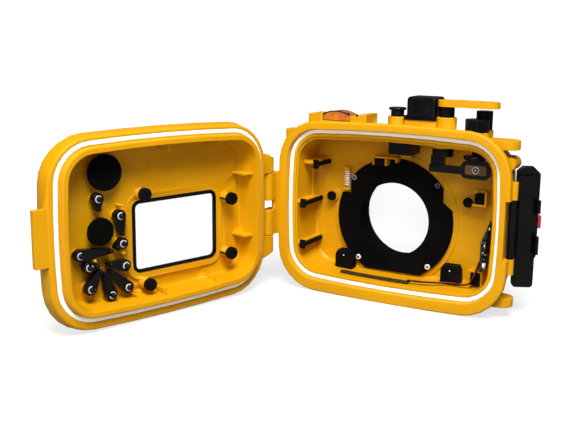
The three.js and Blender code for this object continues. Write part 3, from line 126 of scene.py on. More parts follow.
def end_of(node, way):
    """The middle of a node's flat end, the furthest one along a direction."""
    points = {tuple(round(c, PLACE_DIGITS) for c in v.co) for v in nodes[node].data.vertices}
    points = [Vector(p) for p in points]
    far = max(p.dot(way) for p in points)
    end = [p for p in points if far - p.dot(way) < WELD]
    return sum(end, Vector()) / len(end)


# Camera

def camera_turn():
    """The camera's directions as a turn: its right, its up and the way back from what it sees."""
    azimuth, elevation, roll = (math.radians(a) for a in (AZIMUTH_DEG, ELEVATION_DEG, ROLL_DEG))
    back = Vector((
        math.sin(azimuth) * math.cos(elevation),
        -math.cos(azimuth) * math.cos(elevation),
        math.sin(elevation),
    ))
    right = Vector((math.cos(azimuth), math.sin(azimuth), 0))
    up = back.cross(right)
    tilted_right = right * math.cos(roll) + up * math.sin(roll)
    tilted_up = up * math.cos(roll) - right * math.sin(roll)
    return Matrix((tilted_right, tilted_up, back)).transposed().to_4x4()


def make_camera():
    data = bpy.data.cameras.new("camera")
    data.lens = LENS_MM
    data.sensor_width = SENSOR_MM
    data.shift_x, data.shift_y = SHIFT
    data.clip_start = CLIP_START
    camera = bpy.data.objects.new("camera", data)
    camera.matrix_world = Matrix.Translation(EYE) @ camera_turn()
    scene.collection.objects.link(camera)
    scene.camera = camera


# World and floor

WHITE = (1, 1, 1, 1)
WORLD_LIGHT = 0.09
WORLD_WHITE = 1.1
FLOOR_HALF = 6.0
FLOOR_GREY = 0.3
FLOOR_ROUGHNESS = 0.9
FLOOR_SPECULAR = 0.1
# The floor is seen glowing, a little less near the housing than away from it, and lights nothing
FLOOR_GLOW_NEAR = 0.72
FLOOR_GLOW_FAR = 1.0
FLOOR_GLOW_SPAN = (0.12, 0.62)


def grey(value):
    return (value, value, value, 1)


def add_background(tree, strength):
    background = tree.nodes.new("ShaderNodeBackground")
    background.inputs["Color"].default_value = WHITE
    background.inputs["Strength"].default_value = strength
    return background


def make_world():
    """A white surround that is seen bright and lights the scene only a little."""
    world = bpy.data.worlds.new("studio")
    scene.world = world
    world.use_nodes = True
    tree = world.node_tree
    tree.nodes.clear()
    out = tree.nodes.new("ShaderNodeOutputWorld")
    seen = add_background(tree, WORLD_WHITE)
    lit = add_background(tree, WORLD_LIGHT)
    path = tree.nodes.new("ShaderNodeLightPath")
    mix = tree.nodes.new("ShaderNodeMixShader")
    tree.links.new(path.outputs["Is Camera Ray"], mix.inputs["Fac"])
    tree.links.new(lit.outputs[0], mix.inputs[1])
    tree.links.new(seen.outputs[0], mix.inputs[2])
    tree.links.new(mix.outputs[0], out.inputs["Surface"])


def add_floor_glow(tree, shader):
    """Lets the floor glow more the further it lies from the housing, for what is seen alone."""
    coords = tree.nodes.new("ShaderNodeTexCoord")
    length = tree.nodes.new("ShaderNodeVectorMath")
    length.operation = "LENGTH"
    spread = tree.nodes.new("ShaderNodeMapRange")
    spread.interpolation_type = "SMOOTHSTEP"
    spread.inputs["From Min"].default_value = FLOOR_GLOW_SPAN[0]
    spread.inputs["From Max"].default_value = FLOOR_GLOW_SPAN[1]
    spread.inputs["To Min"].default_value = FLOOR_GLOW_NEAR
    spread.inputs["To Max"].default_value = FLOOR_GLOW_FAR
    path = tree.nodes.new("ShaderNodeLightPath")
    seen = tree.nodes.new("ShaderNodeMath")
    seen.operation = "MULTIPLY"
    tree.links.new(coords.outputs["Object"], length.inputs[0])
    tree.links.new(length.outputs["Value"], spread.inputs["Value"])
    tree.links.new(spread.outputs["Result"], seen.inputs[0])
    tree.links.new(path.outputs["Is Camera Ray"], seen.inputs[1])
    tree.links.new(seen.outputs["Value"], shader.inputs["Emission Strength"])


def floor_material():
    material = bpy.data.materials.new("floor")
    material.use_nodes = True
    shader = material.node_tree.nodes["Principled BSDF"]
    shader.inputs["Base Color"].default_value = grey(FLOOR_GREY)
    shader.inputs["Roughness"].default_value = FLOOR_ROUGHNESS
    shader.inputs["Specular IOR Level"].default_value = FLOOR_SPECULAR
    shader.inputs["Emission Color"].default_value = WHITE
    add_floor_glow(material.node_tree, shader)
    return material


def make_floor():
    mesh = bpy.data.meshes.new("floor")
    h = FLOOR_HALF
    mesh.from_pydata([(-h, -h, 0), (h, -h, 0), (h, h, 0), (-h, h, 0)], [], [(0, 1, 2, 3)])
    mesh.materials.append(floor_material())
    floor = bpy.data.objects.new("floor", mesh)
    scene.collection.objects.link(floor)


# Each light: its place, the point that it faces, its width and its power
LIGHTS = {
    "key": ((0.30, -0.58, 0.95), (-0.03, -0.03, 0.05), 0.5, 20.5),
    "fill": ((0.0, -1.0, 0.40), (-0.03, 0.0, 0.05), 0.5, 2.4),
    "top": ((-0.25, 0.10, 1.1), (0.0, 0.0, 0.05), 0.6, 1.8),
}


def make_lights():
    for name, (place, target, wide, power) in LIGHTS.items():
        data = bpy.data.lights.new(name, "AREA")
        data.size = wide
        data.energy = power
        lamp = bpy.data.objects.new(name, data)
        lamp.location = place
        lamp.rotation_euler = (Vector(target) - Vector(place)).to_track_quat("-Z", "Y").to_euler()
        scene.collection.objects.link(lamp)


# Building blocks of the materials

# Noise behind the colour, the gloss and the grain, and how much finer the gloss changes than the colour
COLOR_DETAIL = 3.0
GLOSS_DETAIL = 4.0
GRAIN_DETAIL = 2.0
GLOSS_FINENESS = 9
NOISE_ROUGHNESS = 0.55
RAMP_SPAN = (0.35, 0.65)
BUMP_STRENGTH = 0.35


def new_material(name, color, roughness, **values):
    """A plain material. Each further value is named as its socket is, with underscores."""
    material = bpy.data.materials.new(name)
    material.use_nodes = True
    shader = material.node_tree.nodes["Principled BSDF"]
    shader.inputs["Base Color"].default_value = (*color, 1)
    shader.inputs["Roughness"].default_value = roughness
    for key, value in values.items():
        shader.inputs[key.replace("_", " ")].default_value = value
    return material


def add_noise(tree, scale, detail):
    coords = tree.nodes.new("ShaderNodeTexCoord")
    noise = tree.nodes.new("ShaderNodeTexNoise")
    noise.inputs["Scale"].default_value = scale
    noise.inputs["Detail"].default_value = detail
    noise.inputs["Roughness"].default_value = NOISE_ROUGHNESS
    tree.links.new(coords.outputs["Object"], noise.inputs["Vector"])
    return noise


def add_ramp(tree, source, low, high):
    ramp = tree.nodes.new("ShaderNodeValToRGB")
    for stop, place, color in zip(ramp.color_ramp.elements, RAMP_SPAN, (low, high)):
        stop.position = place
        stop.color = color
    tree.links.new(source, ramp.inputs["Fac"])
    return ramp


def vary(material, low, high, scale, gloss, grain, depth):
    """Gives a material a slow change of colour, a finer one of gloss, and a grain with its depth in mm."""
    tree = material.node_tree
    shader = tree.nodes["Principled BSDF"]
    slow = add_noise(tree, scale, COLOR_DETAIL)
    color_ramp = add_ramp(tree, slow.outputs["Fac"], (*low, 1), (*high, 1))
    tree.links.new(color_ramp.outputs["Color"], shader.inputs["Base Color"])
    fine = add_noise(tree, scale * GLOSS_FINENESS, GLOSS_DETAIL)
    gloss_ramp = add_ramp(tree, fine.outputs["Fac"], grey(gloss[0]), grey(gloss[1]))
    tree.links.new(gloss_ramp.outputs["Color"], shader.inputs["Roughness"])
    grains = add_noise(tree, grain, GRAIN_DETAIL)
    bump = tree.nodes.new("ShaderNodeBump")
    bump.inputs["Strength"].default_value = BUMP_STRENGTH
    bump.inputs["Distance"].default_value = depth * MM
    tree.links.new(grains.outputs["Fac"], bump.inputs["Height"])
    tree.links.new(bump.outputs["Normal"], shader.inputs["Normal"])
    return material


# Materials

def yellow_plastic():
    plain = new_material("yellow_plastic", (0.66, 0.31, 0.002), 0.38, Specular_IOR_Level=0.16)
    return vary(
        plain, low=(0.63, 0.29, 0.0015), high=(0.67, 0.32, 0.0025), scale=16.0,
        gloss=(0.34, 0.44), grain=900.0, depth=0.03,
    )


def black_plastic():
    plain = new_material("black_plastic", (0.003, 0.003, 0.0035), 0.2, Specular_IOR_Level=0.15)
    return vary(
        plain, low=(0.002, 0.002, 0.0025), high=(0.004, 0.004, 0.0045), scale=30.0,
        gloss=(0.15, 0.26), grain=1400.0, depth=0.01,
    )


def black_rubber():
    plain = new_material("black_rubber", (0.004, 0.004, 0.004), 0.7, Specular_IOR_Level=0.05)
    return vary(
        plain, low=(0.003, 0.003, 0.003), high=(0.005, 0.005, 0.005), scale=40.0,
        gloss=(0.5, 0.7), grain=1800.0, depth=0.04,
    )


def matt_black():
    plain = new_material("matt_black", (0.003, 0.003, 0.003), 0.8, Specular_IOR_Level=0.03)
    return vary(
        plain, low=(0.002, 0.002, 0.002), high=(0.004, 0.004, 0.004), scale=40.0,
        gloss=(0.7, 0.85), grain=1800.0, depth=0.02,
    )


def cream_silicone():
    """Silicone lets light through; a slight painted glow stands for that and keeps its shaded side pale."""
    plain = new_material(
        "cream_silicone", (0.97, 0.95, 0.84), 0.42,
        Emission_Color=(1.0, 0.95, 0.82, 1), Emission_Strength=0.14,
    )
    return vary(
        plain, low=(0.97, 0.95, 0.84), high=(1.0, 0.99, 0.92), scale=24.0,
        gloss=(0.38, 0.5), grain=700.0, depth=0.03,
    )


def bright_steel():
    plain = new_material("bright_steel", (0.85, 0.85, 0.87), 0.2, Metallic=1.0)
    return vary(
        plain, low=(0.80, 0.80, 0.82), high=(0.92, 0.92, 0.94), scale=60.0,
        gloss=(0.16, 0.30), grain=2200.0, depth=0.02,
    )


def pale_steel():
    plain = new_material("pale_steel", (0.85, 0.85, 0.86), 0.45, Metallic=0.4)
    return vary(
        plain, low=(0.82, 0.82, 0.84), high=(0.93, 0.93, 0.94), scale=60.0,
        gloss=(0.4, 0.55), grain=2200.0, depth=0.02,
    )


def dark_blue_steel():
    plain = new_material("dark_blue_steel", (0.10, 0.11, 0.16), 0.4, Metallic=0.6)
    return vary(
        plain, low=(0.08, 0.09, 0.13), high=(0.13, 0.14, 0.20), scale=60.0,
        gloss=(0.35, 0.5), grain=2200.0, depth=0.02,
    )


def mid_grey_steel():
    plain = new_material("mid_grey_steel", (0.34, 0.34, 0.36), 0.4, Metallic=0.5)
    return vary(
        plain, low=(0.26, 0.26, 0.28), high=(0.42, 0.42, 0.44), scale=60.0,
        gloss=(0.35, 0.5), grain=2200.0, depth=0.02,
    )


def red_plastic():
    plain = new_material("red_plastic", (0.5, 0.02, 0.04), 0.35)
    return vary(
        plain, low=(0.45, 0.016, 0.034), high=(0.55, 0.025, 0.048), scale=40.0,
        gloss=(0.3, 0.42), grain=1200.0, depth=0.03,
    )


def red_insulation():
    plain = new_material("red_insulation", (0.30, 0.012, 0.010), 0.45)
    return vary(
        plain, low=(0.25, 0.010, 0.008), high=(0.36, 0.016, 0.012), scale=90.0,
        gloss=(0.4, 0.5), grain=1500.0, depth=0.02,
    )


def circuit_board():
    plain = new_material("circuit_board", (0.006, 0.010, 0.008), 0.4)
    return vary(
        plain, low=(0.004, 0.007, 0.006), high=(0.008, 0.014, 0.010), scale=120.0,
        gloss=(0.35, 0.5), grain=1500.0, depth=0.04,
    )


def leak_strip():
    plain = new_material("leak_strip", (0.03, 0.014, 0.008), 0.5)
    return vary(
        plain, low=(0.020, 0.010, 0.006), high=(0.045, 0.020, 0.010), scale=200.0,
        gloss=(0.4, 0.6), grain=1500.0, depth=0.04,
    )


def bronze_film():
    plain = new_material("bronze_film", (0.06, 0.028, 0.008), 0.3, Specular_IOR_Level=0.3)
    return vary(
        plain, low=(0.04, 0.018, 0.005), high=(0.09, 0.042, 0.012), scale=110.0,
        gloss=(0.22, 0.34), grain=1500.0, depth=0.02,
    )


def amber_window():
    plain = new_material(
        "amber_window", (0.62, 0.2, 0.02), 0.2,
        Alpha=0.86, Coat_Weight=0.4, Coat_Roughness=0.1,
    )
    return vary(
        plain, low=(0.42, 0.10, 0.008), high=(0.70, 0.24, 0.016), scale=95.0,
        gloss=(0.14, 0.24), grain=1200.0, depth=0.02,
    )


def clear_panel():
    return new_material("clear_panel", (0.95, 0.97, 0.98), 0.03, Alpha=0.1, IOR=1.49)


MATERIALS = {
    "yellow": yellow_plastic,
    "black": black_plastic,
    "rubber": black_rubber,
    "matt": matt_black,
    "cream": cream_silicone,
    "chrome": bright_steel,
    "pale": pale_steel,
    "dark_blue": dark_blue_steel,
    "mid_grey": mid_grey_steel,
    "red": red_plastic,
    "red_wire": red_insulation,
    "board": circuit_board,
    "strip": leak_strip,
    "bronze": bronze_film,
    "amber": amber_window,
    "clear": clear_panel,
}

# The look of each node. Rubber pads go by the start of their names, and all others are black
NODE_LOOKS = {
    "front_shell": "yellow", "back_door": "yellow", "shutter_lever": "yellow",
    "shell_seal": "cream", "door_seal": "cream",
    "port_glass": "clear", "window_glass": "clear", "flash_window": "amber",
    "hinge_pin_upper": "pale", "hinge_pin_lower": "pale",
    "sensor_board": "board", "lock_button": "red", "leak_strip": "strip",
    "foot_block_left": "rubber", "foot_block_right": "rubber",
    "port_barrel": "matt", "port_plate": "matt", "upper_wheel": "matt", "lower_wheel": "matt",
    # The four plate screws are given steels from dark to pale, one by one: screw 2 darkest, screw 1 mid
    # grey, screws 3 and 4 pale
    "plate_screw_1": "mid_grey", "plate_screw_2": "dark_blue", "plate_screw_3": "pale", "plate_screw_4": "pale",
}
RUBBER_START = "pad_"


def look_of(node):
    if node.startswith(RUBBER_START):
        return "rubber"
    return NODE_LOOKS.get(node, "black")


# Dressed copies of the frame's solids, with rounded edges

def is_outer(edge, floor_band):
    """Whether an edge stands out sharply, above the band in which the housing meets the floor."""
    if len(edge.link_faces) != 2 or not edge.is_convex:
        return False
    on_floor = max(v.co.z for v in edge.verts) < floor_band
    return not on_floor and edge.calc_face_angle(0) > EDGE_SHARP


def room_beside(edge):
    """The shortest length beside an edge: its neighbours' lengths and the heights of its two triangles."""
    near = [e.calc_length() for v in edge.verts for e in v.link_edges if e is not edge]
    deep = [2 * face.calc_area() / edge.calc_length() for face in edge.link_faces]
    return min(near + deep)


def rounded_mesh(source, radius):
    """A welded copy of a solid's mesh, whose outer edges weigh as much rounding as they have room for."""
    mesh = bpy.data.meshes.new(source.name + "_fine")
    work = bmesh.new()
    work.from_mesh(source)
    bmesh.ops.remove_doubles(work, verts=work.verts, dist=WELD)
    weights = work.edges.layers.float.new("bevel_weight_edge")
    for edge in work.edges:
        if is_outer(edge, radius):
            edge[weights] = min(1.0, room_beside(edge) * EDGE_SHARE / radius)
    for face in work.faces:
        face.smooth = True
    work.to_mesh(mesh)
    work.free()
    mesh.set_sharp_from_angle(angle=EDGE_SHARP)
    return mesh


def even_normals(piece):
    """Lets large flat faces lead the shading, so that rounded edges don't darken them."""
    normals = piece.modifiers.new("normals", "WEIGHTED_NORMAL")
    normals.mode = "FACE_AREA_WITH_ANGLE"
    normals.keep_sharp = True


def dress(node, materials):
    """Stands a finely edged copy in for a node of the frame, with its own finish."""
    source = nodes[node]
    radius = CROWDED_ROUND if node in CROWDED else EDGE_ROUND
    mesh = rounded_mesh(source.data, radius)
    mesh.materials.clear()
    mesh.materials.append(materials[look_of(node)])
    piece = bpy.data.objects.new(node + "_fine", mesh)
    scene.collection.objects.link(piece)
    bevel = piece.modifiers.new("edges", "BEVEL")
    bevel.limit_method = "WEIGHT"
    bevel.width = radius
    bevel.segments = EDGE_STEPS
    bevel.use_clamp_overlap = False
    bevel.loop_slide = node not in CROWDED
    even_normals(piece)
    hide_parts(node)
    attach(piece, source["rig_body"])


# Nodes that a round wire stands for
OWN_PIECES = ("plate_spring", "sensor_wire_red", "sensor_wire_black")


def dress_all(materials):
    for node in sorted(nodes):
        if node not in OWN_PIECES:
            dress(node, materials)


# Building blocks of the small pieces, in millimetres of the drawing

FULL_TURN_DEG = 360.0
QUARTER_TURN = math.radians(90)
SPIN_STEPS = 28
CORNER_STEPS = 5
CORNER_SIDES = ((1, 1), (-1, 1), (-1, -1), (1, -1))
WIRE_RESOLUTION = 3


def standing(place, axis, spin_deg=0.0):
    """Puts a piece made along +Z at a place, with its +Z along an axis."""
    turn = axis.to_track_quat("Z", "Y").to_matrix().to_4x4()
    return Matrix.Translation(place) @ turn @ Matrix.Rotation(math.radians(spin_deg), 4, "Z")


def spun(work, profile, matrix, steps=SPIN_STEPS, arc_deg=FULL_TURN_DEG):
    """Adds a closed solid turned from a profile of (radius, height) points."""
    whole = arc_deg >= FULL_TURN_DEG
    count = steps if whole else steps + 1
    rings = []
    for step in range(count):
        angle = math.radians(arc_deg) * step / steps
        side = Vector((math.cos(angle), math.sin(angle), 0))
        rings.append([work.verts.new(matrix @ (side * r * MM + UP * h * MM)) for r, h in profile])
    for step in range(count if whole else steps):
        here, after = rings[step], rings[(step + 1) % count]
        for low in range(len(profile)):
            high = (low + 1) % len(profile)
            work.faces.new((here[low], after[low], after[high], here[high]))
    if not whole:
        work.faces.new(rings[0])
        work.faces.new(list(reversed(rings[-1])))


def plate(work, width, height, thick, corner, matrix, steps=CORNER_STEPS):
    """Adds a flat plate with round corners, its back at the matrix and its face along +Z."""
    outline = []
    for turn, (sx, sy) in enumerate(CORNER_SIDES):
        for step in range(steps + 1):
            angle = QUARTER_TURN * (turn + step / steps)
            x = sx * (width / 2 - corner) + corner * math.cos(angle)
            y = sy * (height / 2 - corner) + corner * math.sin(angle)
            outline.append((x * MM, y * MM))
    low = [work.verts.new(matrix @ Vector((x, y, 0))) for x, y in outline]
    high = [work.verts.new(matrix @ Vector((x, y, thick * MM))) for x, y in outline]
    count = len(outline)
    work.faces.new(list(reversed(low)))
    work.faces.new(high)
    for step in range(count):
        after = (step + 1) % count
        work.faces.new((low[step], low[after], high[after], high[step]))


def disc_profile(radius, low, high):
    return [(0, low), (radius, low), (radius, high), (0, high)]


def ring_profile(inner, outer, low, high):
    return [(inner, low), (outer, low), (outer, high), (inner, high)]


def finished(name, work, material, body, edge=0.0):
    """Turns a bmesh into a shaded piece that rides on a body, with rounded edges where a radius is given."""
    bmesh.ops.remove_doubles(work, verts=work.verts, dist=WELD)
    bmesh.ops.recalc_face_normals(work, faces=work.faces)
    for face in work.faces:
        face.smooth = True
    mesh = bpy.data.meshes.new(name)
    work.to_mesh(mesh)
    work.free()
    mesh.set_sharp_from_angle(angle=EDGE_SHARP)
    mesh.materials.append(material)
    piece = bpy.data.objects.new(name, mesh)
    scene.collection.objects.link(piece)
    if edge:
        bevel = piece.modifiers.new("edges", "BEVEL")
        bevel.width = edge * MM
        bevel.segments = EDGE_STEPS
        bevel.angle_limit = EDGE_SHARP
    even_normals(piece)
    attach(piece, body)


def drawn(name, points, radius, material, body):
    """A round wire along points of the row frame."""
    curve = bpy.data.curves.new(name, "CURVE")
    curve.dimensions = "3D"
    curve.bevel_depth = radius * MM
    curve.bevel_resolution = WIRE_RESOLUTION
    curve.use_fill_caps = True
    spline = curve.splines.new("POLY")
    spline.points.add(len(points) - 1)
    for point, place in zip(spline.points, points):
        point.co = (*place, 1)
    curve.materials.append(material)
    piece = bpy.data.objects.new(name, curve)
    scene.collection.objects.link(piece)
    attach(piece, body)
    return piece


# The coil beside the port plate
COIL = {"x": -40.1, "y": 24.6, "low": 69.25, "high": 79.75, "radius": 1.6, "wire": 0.45}
COIL_TURNS = 7
COIL_STEPS = 18


def make_coil(materials):
    steps = COIL_TURNS * COIL_STEPS
    points = []
    for step in range(steps + 1):
        angle = math.tau * step / COIL_STEPS
        x = COIL["x"] + COIL["radius"] * math.cos(angle)
        y = COIL["y"] + COIL["radius"] * math.sin(angle)
        z = COIL["low"] + (COIL["high"] - COIL["low"]) * step / steps
        points.append(at(x, y, z))
    coil = drawn("plate_spring_fine", points, COIL["wire"], materials["pale"], "shell")
    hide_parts("plate_spring")


# The two leads from the leak strip to the board. The red one lies a shift away from the black one's route
LEAD_RADIUS = 0.45
LEAD_SHIFT = 1.3
LEAD_STEPS = 8
LEADS = {"sensor_wire_red": (LEAD_SHIFT, "red_wire"), "sensor_wire_black": (0.0, "rubber")}


def lead_route(shift):
    return [
        at(11.3, 8.7 + shift, 14.944),
        at(20.4, 8.7 + shift, 15.394),
        at(36.6, 14.8 + shift, 15.394),
        at(50.6, 13.0 + shift, 17.544),
        at(56.6 - shift, 11.7 + shift, 28.5),
        at(57.9, 8.4 + shift, 33.7),
    ]


def between(a, b, start, end, t):
    """The point for t on the line that passes a at start and b at end."""
    return a * ((end - t) / (end - start)) + b * ((t - start) / (end - start))


def smooth_route(route):
    """Points on the smooth curve through a route, spaced by the square root of the chords."""
    ends = [route[0] * 2 - route[1], *route, route[-1] * 2 - route[-2]]
    points = []
    for index in range(1, len(ends) - 2):
        p = ends[index - 1:index + 3]
        knots = [0.0]
        for a, b in zip(p, p[1:]):
            knots.append(knots[-1] + math.sqrt((b - a).length))
        for step in range(LEAD_STEPS):
            t = knots[1] + (knots[2] - knots[1]) * step / LEAD_STEPS
            first = [between(p[k], p[k + 1], knots[k], knots[k + 1], t) for k in range(3)]
            second = [between(first[k], first[k + 1], knots[k], knots[k + 2], t) for k in range(2)]
            points.append(between(second[0], second[1], knots[1], knots[2], t))
    return points + [route[-1]]


def make_leads(materials):
    for node, (shift, look) in LEADS.items():
        points = smooth_route(lead_route(shift))
        lead = drawn(node + "_fine", points, LEAD_RADIUS, materials[look], "shell")
        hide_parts(node)


# Spring clips on the door's shafts: open rings, each turned its own way
CLIP = {"inner": 1.62, "outer": 2.2, "thick": 0.45, "below_tip": 1.75, "edge": 0.1}
CLIP_ARC_DEG = 285.0
CLIP_STEPS = 24
CLIP_TURNS_DEG = (35, 60, 20, 75, 110, 300, 80, 200, 50)


def make_clip(number, turn_deg, materials):
    place = end_of(f"button_{number}", DOOR_IN) - DOOR_IN * CLIP["below_tip"] * MM
    work = bmesh.new()
    ring = ring_profile(CLIP["inner"], CLIP["outer"], 0, CLIP["thick"])
    spun(work, ring, standing(place, DOOR_IN, turn_deg), CLIP_STEPS, CLIP_ARC_DEG)
    finished(f"shaft_clip_{number}", work, materials["pale"], f"press_{number}", CLIP["edge"])


# Low heads on the tips of the same shafts
SHAFT_HEAD = {"radius": 0.85, "high": 0.25}
SHAFT_HEAD_TOP_SHARE = 0.7
SHAFT_HEAD_STEPS = 16


def make_shaft_head(number, materials):
    r, high = SHAFT_HEAD["radius"], SHAFT_HEAD["high"]
    work = bmesh.new()
    head = [(0, 0), (r, 0), (r * SHAFT_HEAD_TOP_SHARE, high), (0, high)]
    spun(work, head, standing(end_of(f"button_{number}", DOOR_IN), DOOR_IN), SHAFT_HEAD_STEPS)
    finished(f"shaft_head_{number}", work, materials["black"], f"press_{number}")


def make_shaft_ends(materials):
    for number, turn_deg in enumerate(CLIP_TURNS_DEG, start=1):
        make_clip(number, turn_deg, materials)
        make_shaft_head(number, materials)


# Rubber on the four posts of the door: two tall caps, and two flat ones, each with a thin dark rod of
# painted shade beside its post
POST_TIP_Y = -8.0
POST_RADIUS = 3.4
POST_GAP = 0.05
TALL_CAP = {"radius": 3.8, "deep": 2.6, "over": 0.9, "round": 0.6}
FLAT_CAP = {"radius": 4.0, "deep": 2.2, "over": 0.9, "round": 0.5}
TALL_CAPS = {"upper": (12.8, 76.2), "lower": (10.4, 20.8)}
FLAT_CAPS = {"upper": (-51.6, 65.7), "lower": (-51.5, 29.8)}
CAP_ROUND_SHARE = 0.3
# The thin dark rod beside each flat cap is painted shade, a line of shade down the post
POST_SHADE_ROD = {"radius": 0.5, "long": 9.0, "taper": 1.2}
POST_SHADE_ROD_TIP_SHARE = 0.4
POST_SHADE_ROD_STEPS = 12


def cap_profile(cap):
    """A cup over the end of a post, closed in front."""
    r, deep, over, edge = cap["radius"], cap["deep"], cap["over"], cap["round"]
    bore = POST_RADIUS + POST_GAP
    cut = edge * CAP_ROUND_SHARE
    return [
        (0, POST_GAP), (bore, POST_GAP), (bore, -deep), (r, -deep), (r, over - edge),
        (r - cut, over - cut), (r - edge, over), (0, over),
    ]


def add_post_shade_rod(work, x, z):
    """Painted shade: a thin dark rod beside a post, from a tapered tip in the tray to the cap, laid where a
    dark line of shade runs.
    """
    start = door_at(x + POST_RADIUS + POST_SHADE_ROD["radius"], POST_TIP_Y - POST_SHADE_ROD["long"], z)
    r, long = POST_SHADE_ROD["radius"], POST_SHADE_ROD["long"]
    profile = [(0, 0), (r * POST_SHADE_ROD_TIP_SHARE, 0), (r, POST_SHADE_ROD["taper"]), (r, long), (0, long)]
    spun(work, profile, standing(start, DOOR_IN), POST_SHADE_ROD_STEPS)


def make_post_caps(materials):
    groups = (("post_cap", TALL_CAPS, TALL_CAP), ("post_disc", FLAT_CAPS, FLAT_CAP))
    for kind, places, cap in groups:
        for name, (x, z) in places.items():
            work = bmesh.new()
            spun(work, cap_profile(cap), standing(door_at(x, POST_TIP_Y, z), DOOR_IN))
            if cap is FLAT_CAP:
                add_post_shade_rod(work, x, z)
            finished(f"{kind}_{name}", work, materials["rubber"], "door")


# Paddle of the shutter arm: a bronze film on it, with a ring, a dark disc of painted shade in its hollow,
# and a cross screw in the middle
PADDLE = {"x": 53.8, "y": 5.2, "z": 90.7}
FILM = {"wide": 13.2, "high": 5.8, "thick": 0.12, "corner": 1.2}
PADDLE_RING = {"outer": 2.15, "inner": 1.65, "high": 0.5, "edge": 0.08}
PADDLE_SHADE_THICK = 0.1
PADDLE_CROSS = {"long": 1.53, "wide": 0.45, "high": 0.35, "corner": 0.15}
PADDLE_CROSS_TURN_DEG = 20


def make_paddle_film(place, materials):
    work = bmesh.new()
    plate(work, FILM["wide"], FILM["high"], FILM["thick"], FILM["corner"], standing(place, TO_EYE))
    finished("paddle_film", work, materials["bronze"], "trigger")


def make_paddle_ring(place, materials):
    work = bmesh.new()
    ring = ring_profile(PADDLE_RING["inner"], PADDLE_RING["outer"], FILM["thick"], PADDLE_RING["high"])
    spun(work, ring, standing(place, TO_EYE))
    finished("paddle_ring", work, materials["mid_grey"], "trigger", PADDLE_RING["edge"])


# Painted shade: a dark disc inside the ring stands for the shade in the paddle's hollow
def make_paddle_hollow_shade(place, materials):
    work = bmesh.new()
    disc = disc_profile(PADDLE_RING["inner"], FILM["thick"], FILM["thick"] + PADDLE_SHADE_THICK)
    spun(work, disc, standing(place, TO_EYE))
    finished("paddle_hollow_shade", work, materials["black"], "trigger")


def make_paddle_screw(place, materials):
    work = bmesh.new()
    stand = standing(place + TO_EYE * FILM["thick"] * MM, TO_EYE, PADDLE_CROSS_TURN_DEG)
    long, wide = PADDLE_CROSS["long"], PADDLE_CROSS["wide"]
    for across, along in ((long, wide), (wide, long)):
        plate(work, across, along, PADDLE_CROSS["high"], PADDLE_CROSS["corner"], stand)
    finished("paddle_screw", work, materials["chrome"], "trigger")


def make_paddle_detail(materials):
    place = at(PADDLE["x"], PADDLE["y"], PADDLE["z"])
    make_paddle_film(place, materials)
    make_paddle_ring(place, materials)
    make_paddle_hollow_shade(place, materials)
    make_paddle_screw(place, materials)


# Port plate screws: a dark disc in each head, painted shade of its socket
PLATE_SCREWS = ("plate_screw_1", "plate_screw_2", "plate_screw_3", "plate_screw_4")
SOCKET_SHADE = {"radius": 0.75, "high": 0.12, "sunk": 0.3}
SOCKET_SIDES = 6


def make_socket_shades(materials):
    for node in PLATE_SCREWS:
        work = bmesh.new()
        # Painted shade: the black hexagon stands for the shade inside the socket
        disc = disc_profile(SOCKET_SHADE["radius"], -SOCKET_SHADE["sunk"], SOCKET_SHADE["high"])
        spun(work, disc, standing(end_of(node, TO_EYE), TO_EYE), SOCKET_SIDES)
        name = node.replace("plate_screw", "screw_socket_shade")
        finished(name, work, materials["black"], "shell")


# Parts on the sensor board's outer face: (y, z, width, height, thickness, look)
BOARD_FACE_X = 60.8
BOARD_PARTS = {
    "chip_large": (14.0, 42.0, 6.0, 7.0, 1.0, "black"),
    "chip_small": (18.0, 50.0, 3.4, 3.0, 0.8, "black"),
    "cell_upper": (7.6, 44.6, 1.6, 1.1, 0.6, "pale"),
    "cell_lower": (9.8, 38.6, 1.1, 1.6, 0.6, "pale"),
    "cell_top": (16.4, 53.4, 1.6, 0.9, 0.6, "pale"),
    "lamp": (9.2, 46.4, 1.0, 1.0, 0.7, "chrome"),
    "pin_row": (21.0, 36.0, 1.2, 5.0, 0.8, "chrome"),
    "pad_row": (5.9, 40.8, 0.8, 4.0, 0.3, "pale"),
}
BOARD_PART_CORNER = 0.15
BOARD_PART_CORNER_STEPS = 2


def make_board_parts(materials):
    for name, (y, z, wide, high, thick, look) in BOARD_PARTS.items():
        work = bmesh.new()
        stand = standing(at(BOARD_FACE_X, y, z), TO_RIGHT)
        plate(work, high, wide, thick, BOARD_PART_CORNER, stand, BOARD_PART_CORNER_STEPS)
        finished("board_" + name, work, materials[look], "shell")


# Domed screw that holds the board: the shares of its radius and height at which its dome bends
BOARD_SCREW = {"y": 7.6, "z": 32.4, "radius": 2.3, "high": 1.5}
BOARD_SCREW_SHARES = ((1.0, 0.5), (0.8, 0.85), (0.45, 1.0))
BOARD_SCREW_STEPS = 20


def make_board_screw(materials):
    work = bmesh.new()
    r, high = BOARD_SCREW["radius"], BOARD_SCREW["high"]
    dome = [(r * out, high * up) for out, up in BOARD_SCREW_SHARES]
    head = [(0, 0), (r, 0), *dome, (0, high)]
    place = at(BOARD_FACE_X, BOARD_SCREW["y"], BOARD_SCREW["z"])
    spun(work, head, standing(place, TO_RIGHT), BOARD_SCREW_STEPS)
    finished("board_screw", work, materials["pale"], "shell")


# Trim of the flash window: a dark line along its dome
DOME = {"left": -51.2, "right": -31.9, "side": 118.65, "top": 120.9, "front": 8.0}
DOME_LINE = 0.35
DOME_STEPS = 14


def make_flash_rim(materials):
    middle = (DOME["left"] + DOME["right"]) / 2
    half = (DOME["right"] - DOME["left"]) / 2
    points = []
    for step in range(DOME_STEPS + 1):
        share = step / DOME_STEPS * 2 - 1
        rise = (DOME["top"] - DOME["side"]) * (1 - share * share)
        points.append(at(middle + share * half, DOME["front"] + DOME_LINE, DOME["side"] + rise))
    line = drawn("flash_rim", points, DOME_LINE, materials["black"], "shell")


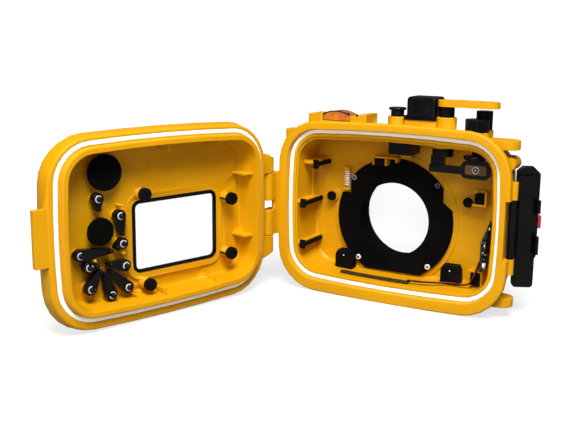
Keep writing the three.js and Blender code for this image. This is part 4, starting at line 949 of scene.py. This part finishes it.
# Pegs beside the dome, each at its (x, z)
PEG_PLACES = ((-49.9, 118.9), (-32.6, 119.6), (-26.4, 118.9))
PEG = {"radius": 0.7, "tip_radius": 0.4, "side": 0.2, "high": 0.4, "sunk": 0.6}
PEG_STEPS = 12


def make_flash_pegs(materials):
    for number, (x, z) in enumerate(PEG_PLACES, start=1):
        work = bmesh.new()
        peg = [
            (0, -PEG["sunk"]), (PEG["radius"], -PEG["sunk"]), (PEG["radius"], PEG["side"]),
            (PEG["tip_radius"], PEG["high"]), (0, PEG["high"]),
        ]
        spun(work, peg, standing(at(x, DOME["front"], z), TO_EYE), PEG_STEPS)
        finished(f"flash_peg_{number}", work, materials["black"], "shell")


# A pin in the face of each foot block, some way down from its top, whose pale dot is also a painted
# highlight where the block glints
FOOT_GLINT_PIN = {"radius": 0.45, "high": 0.25, "sunk": 0.3, "down": 3.4}
FOOT_GLINT_PIN_SIDE_SHARE = 0.5
FOOT_GLINT_PIN_TIP_SHARE = 0.6
FOOT_GLINT_PIN_STEPS = 14
FOOT_BLOCKS = ("foot_block_left", "foot_block_right")


def make_foot_glint_pins(materials):
    r, high, sunk = FOOT_GLINT_PIN["radius"], FOOT_GLINT_PIN["high"], FOOT_GLINT_PIN["sunk"]
    for node in FOOT_BLOCKS:
        low, top = (Vector(corner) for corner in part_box(node))
        place = Vector(((low.x + top.x) / 2, low.y, top.z - FOOT_GLINT_PIN["down"] * MM))
        work = bmesh.new()
        pin = [
            (0, -sunk), (r, -sunk), (r, high * FOOT_GLINT_PIN_SIDE_SHARE),
            (r * FOOT_GLINT_PIN_TIP_SHARE, high), (0, high),
        ]
        spun(work, pin, standing(place, TO_EYE), FOOT_GLINT_PIN_STEPS)
        finished(node.replace("block", "pin"), work, materials["pale"], "shell")


# The making, the camera and the cords first
make_camera()
looks = {look: make() for look, make in MATERIALS.items()}
make_coil(looks)
make_leads(looks)
make_world()
make_floor()
make_lights()
dress_all(looks)
make_shaft_ends(looks)
make_post_caps(looks)
make_paddle_detail(looks)
make_socket_shades(looks)
make_board_parts(looks)
make_board_screw(looks)
make_flash_rim(looks)
make_flash_pegs(looks)
make_foot_glint_pins(looks)

scene.view_settings.view_transform = "Standard"

import json
